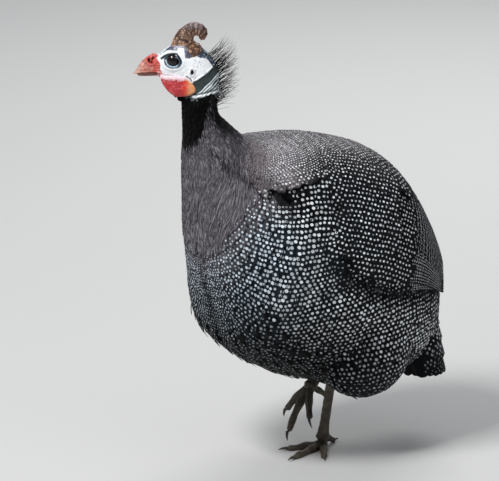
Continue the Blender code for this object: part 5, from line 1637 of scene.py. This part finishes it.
# The legs are bare below the ankle: horny shields in rows down the front of the shank and along
# the toes, small scales behind, and soft pads under the joints. The claws are worn and blunt.
SHANKS = (  # side, foot, yaw, pitch and the toes' curl in degrees, ankle, whether it stands
    ("left", 1, (3.0, 10, 12), 20.0, 0.0, 0.0, (16.0, 15, 97), True),
    ("right", -1, (-28.0, 17, 55), -4.0, 47.0, 26.0, (-37.0, 78, 108), False))
TOES = {"inner": (36.0, 37.0), "middle": (0.0, 51.0), "outer": (-36.0, 39.0)}  # turn out, length
TOE_ROOT, TOE_TIP, HIND_ROOT, HIND_TIP = 4.6, 2.9, 3.6, 2.4
ASIDE, UP = Vector((1, 0, 0)), Vector((0, 0, 1))


def limb_rings(line, sides_way, front_way, wide, deep, pitch, lift, sides=28, pad=0.0):
    """Rings along a limb's middle line, with overlapping shields on its front face: each is proud
    at its lower end."""
    line = np.asarray(line, float)
    steps = np.linalg.norm(np.diff(line, axis=0), axis=1)
    level = np.concatenate([[0], np.cumsum(steps)])
    turn = np.arange(sides) * math.tau / sides
    share = (level[:, None] / pitch) % 1.0
    front_face = np.clip(np.cos(turn), 0, 1) ** 0.6 * (1 - 0.315 * ridge(np.sin(turn), 0, 0.10))
    rise = lift * (0.25 + 0.75 * (1 - share)) * ramp(share, 0.0, 0.10) * front_face
    under = pad * np.clip(-np.cos(turn), 0, 1) ** 1.5
    across = (np.sin(turn) * (wide[:, None] + 0.5 * rise))[..., None]
    ahead = (np.cos(turn) * (deep[:, None] + rise + under))[..., None]
    return line[:, None] + np.asarray(sides_way)[:, None] * across + np.asarray(front_way)[:, None] * ahead


def scale_colour(points):
    """Olive-brown horn in soft patches."""
    rough, fine = speckle(points, 7.0, 4.0), speckle(points, 2.2, 8.0)
    olive, brown = np.array((0.105, 0.088, 0.055)), np.array((0.050, 0.036, 0.026))
    return mixed(ramp(rough + 0.5 * fine, -0.5, 0.6), brown, olive)


def scale_paint():
    edge = texture("Voronoi", 520.0, {"feature": "DISTANCE_TO_EDGE"}).clear(0.0, 0.16)
    grain = texture("Noise", 300.0, Detail=4.0)
    return grained((0.55 + edge * 0.5) * (0.7 + grain * 0.6), edge + grain * 0.3, 0.6, 0.0004,
                   Roughness=0.36 + grain * 0.3)


def claw_paint():
    grain = texture("Noise", 500.0, Detail=3.0)
    return {"Base Color": blended(grain, (0.030, 0.024, 0.019), (0.085, 0.068, 0.048)),
            "Normal": Wire.node("ShaderNodeBump", Strength=0.3, Distance=0.0002, Height=grain)}


leg_scales = finish_of("leg_scales", 0.5, scale_paint, Specular_IOR_Level=0.45)
claw_horn = finish_of("claw_horn", 0.34, claw_paint, Specular_IOR_Level=0.5)


def sloped(pitch):
    """The way forward on a slope that falls by pitch."""
    return Vector((0, -math.cos(pitch), -math.sin(pitch)))


def toe_rings(frame, length, root_radius, tip_radius, curl, flat):
    """A toe's rings and the frame at its tip."""
    steps, coarse_steps, sunk = 80, 7, 1.0
    joints = 2.5 if length > 45 else 2.0
    middle, crest, wide, point = [], [], [], Vector((0, 0, 0))
    for k in range(steps + 1):
        share = k / steps
        way = sloped(math.radians(curl) * share)
        radius = root_radius + (tip_radius - root_radius) * share
        radius *= 1 + 0.09 * math.cos(math.tau * joints * share)
        if share > 0.93:
            radius *= math.sqrt(max(0.05, 1 - ((share - 0.93) / 0.075) ** 2))
        rise = UP * (max(radius, tip_radius) - sunk) if flat else Vector((0, 0, 0))
        middle.append(tuple(frame @ (point + rise)))
        crest.append(tuple(frame.to_3x3() @ (ASIDE.cross(way) * -1)))
        wide.append(radius)
        point += way * length / steps
    wide = np.array(wide)
    across = [tuple(frame.to_3x3() @ ASIDE)] * len(wide)
    rings = limb_rings(middle, across, crest, wide, wide * 0.98, 3.1, 0.34, pad=0.35)
    last = Vector((0, 0, 0))
    for k in range(coarse_steps):
        last += sloped(math.radians(curl) * k / coarse_steps) * length / coarse_steps
    tip = frame @ Matrix.Translation(last + UP * (tip_radius - sunk if flat else 0.0))
    return rings, tip @ Matrix.Rotation(-math.radians(curl), 4, "X").inverted()


def claw_rings(tip, length, radius, droop):
    """A claw that curves down from the toe's tip to a blunt point."""
    rings, point, steps, sides = [], Vector((0, -0.2, 0.5)), 22, 16
    for k in range(steps + 1):
        share = k / steps
        pitch = math.radians(34.0 * share + droop)
        crest = Vector((0, -math.sin(pitch), math.cos(pitch)))
        thick = radius * (1 - share ** 1.3) + 0.3 * share
        if k == steps:
            thick *= 0.5
        rings.append([tuple(tip @ (point + ASIDE * math.sin(t) * thick * 0.8 + crest * math.cos(t) * thick))
                      for t in (math.tau * i / sides for i in range(sides))])
        point += sloped(pitch) * length / steps
    return np.array(rings)


for word, side, foot, yaw, pitch, curl, ankle, standing in SHANKS:
    start, end = Vector(foot), Vector(ankle)
    way = (end - start).normalized()
    aside = way.cross(Vector((0, 1, 0))).normalized()
    ahead = aside.cross(way).normalized()
    if ahead.y > 0:
        ahead = -ahead
    share = np.linspace(-0.02, 1.0, 150)
    grown = 1 + 0.42 * np.clip(1 - share / 0.22, 0, 2) ** 2 + 0.5 * np.clip((share - 0.78) / 0.22, 0, 1) ** 2
    line = np.array(start) + np.outer(share * (end - start).length, np.array(way))
    bodies = [limb_rings(line, np.repeat([tuple(aside)], 150, 0), np.repeat([tuple(ahead)], 150, 0),
                         4.0 * grown, 4.9 * grown, 7.2, 0.75, sides=40)]
    foot_frame = (Matrix.Translation(start) @ Matrix.Rotation(math.radians(yaw), 4, "Z")
                  @ Matrix.Rotation(math.radians(pitch), 4, "X"))
    pad = ball_grid(24, 28) * np.array((6.6, 7.0, 6.6))
    bodies.append(np.array([[tuple(foot_frame @ Vector(p)) for p in ring] for ring in pad]))
    ground = foot_frame @ Matrix.Translation((0, 0, -start.z if standing else 0.0))
    for which, (angle, reach) in TOES.items():
        turned = ground @ Matrix.Rotation(math.radians(-angle * side), 4, "Z")
        rings, tip = toe_rings(turned, reach, TOE_ROOT, TOE_TIP, curl, standing)
        bodies.append(rings)
        lofted(f"talon_{word}_{which}", [claw_rings(tip, 10.5, TOE_TIP * 0.62, -13.0 if standing else 2.0)],
               claw_horn, (f"claw_{word}_{which}",))
    hind = foot_frame @ Matrix.Rotation(math.pi, 4, "Z")
    drop = math.degrees(math.asin(7.0 / 17.0)) if standing else 78.0
    hind = hind @ Matrix.Rotation(math.radians(drop), 4, "X")
    rings, tip = toe_rings(hind, 22.0, HIND_ROOT, HIND_TIP, 6.0, False)
    bodies.append(rings)
    lofted(f"talon_{word}_hind", [claw_rings(tip, 7.35, 1.5, -42.0 if standing else 2.0)], claw_horn,
           (f"claw_{word}_hind",))
    lofted(f"leg_{word}", bodies, leg_scales, (f"shank_{word}", f"foot_{word}"), scale_colour,
           float(measured(np.zeros(3))[2]) if standing else None)


# The camera stands eight metres off and 16 degrees up, as the photo was taken; the light is that
# of a plain studio, with one soft key, a weak fill and one from behind.
def look(azimuth, elevation, distance, target_px, width_px=499, height_px=481):
    az, el = math.radians(azimuth), math.radians(elevation)
    back_way = Vector((math.sin(az) * math.cos(el), -math.cos(az) * math.cos(el), math.sin(el)))
    right = Vector((math.cos(az), math.sin(az), 0))
    up = back_way.cross(right)
    target = right * (width_px / 2 - target_px[0]) * 0.001 + up * (target_px[1] - height_px / 2) * 0.001
    camera = placed("camera", bpy.data.cameras.new("camera"))
    camera.data.sensor_width = 36
    camera.data.lens = 36 * distance / (width_px * 0.001)
    camera.data.clip_end = 100
    camera.location = target + Vector(SHIFT) + back_way * distance
    camera.rotation_mode = "QUATERNION"
    camera.rotation_quaternion = (-back_way).to_track_quat("-Z", "Y")
    bpy.context.scene.camera = camera
    return right, back_way


right, back_way = look(55, 16, 8.0, (313, 448))


def area_light(name, place, size, power):
    light = bpy.data.lights.new(name, "AREA")
    light.shape, light.size, light.energy = "SQUARE", size, power
    lamp = placed(name, light)
    lamp.location = place
    lamp.rotation_mode = "QUATERNION"
    lamp.rotation_quaternion = (UP * 0.22 - place).to_track_quat("-Z", "Y")


area_light("key_light", right * -1.0 + back_way * 1.1 + UP * 1.9, 0.7, 52)
area_light("fill_light", right * 1.8 + back_way * 0.8 + UP * 0.9, 1.6, 3)
area_light("back_light", back_way * -1.6 + right * 0.4 + UP * 1.8, 1.2, 18)

world = bpy.data.worlds.new("studio")
bpy.context.scene.world = world
world.use_nodes = True
world.node_tree.nodes["Background"].inputs["Color"].default_value = (0.9, 0.93, 1, 1)
world.node_tree.nodes["Background"].inputs["Strength"].default_value = 0.26


def floor_paint():
    grain = Wire.node("ShaderNodeTexNoise", Scale=6.0, Detail=4.0)
    return {"Base Color": blended(grain, (0.60, 0.60, 0.59), (0.66, 0.66, 0.65))}


# The floor is one wide pale disc.
disc = bmesh.new()
bmesh.ops.create_circle(disc, cap_ends=True, segments=96, radius=6)
floor_mesh = bpy.data.meshes.new("floor")
disc.to_mesh(floor_mesh)
floor = placed("floor", floor_mesh)
floor_mesh.materials.append(finish_of("pale_floor", 0.8, floor_paint))

bpy.context.scene.view_settings.view_transform = "Standard"
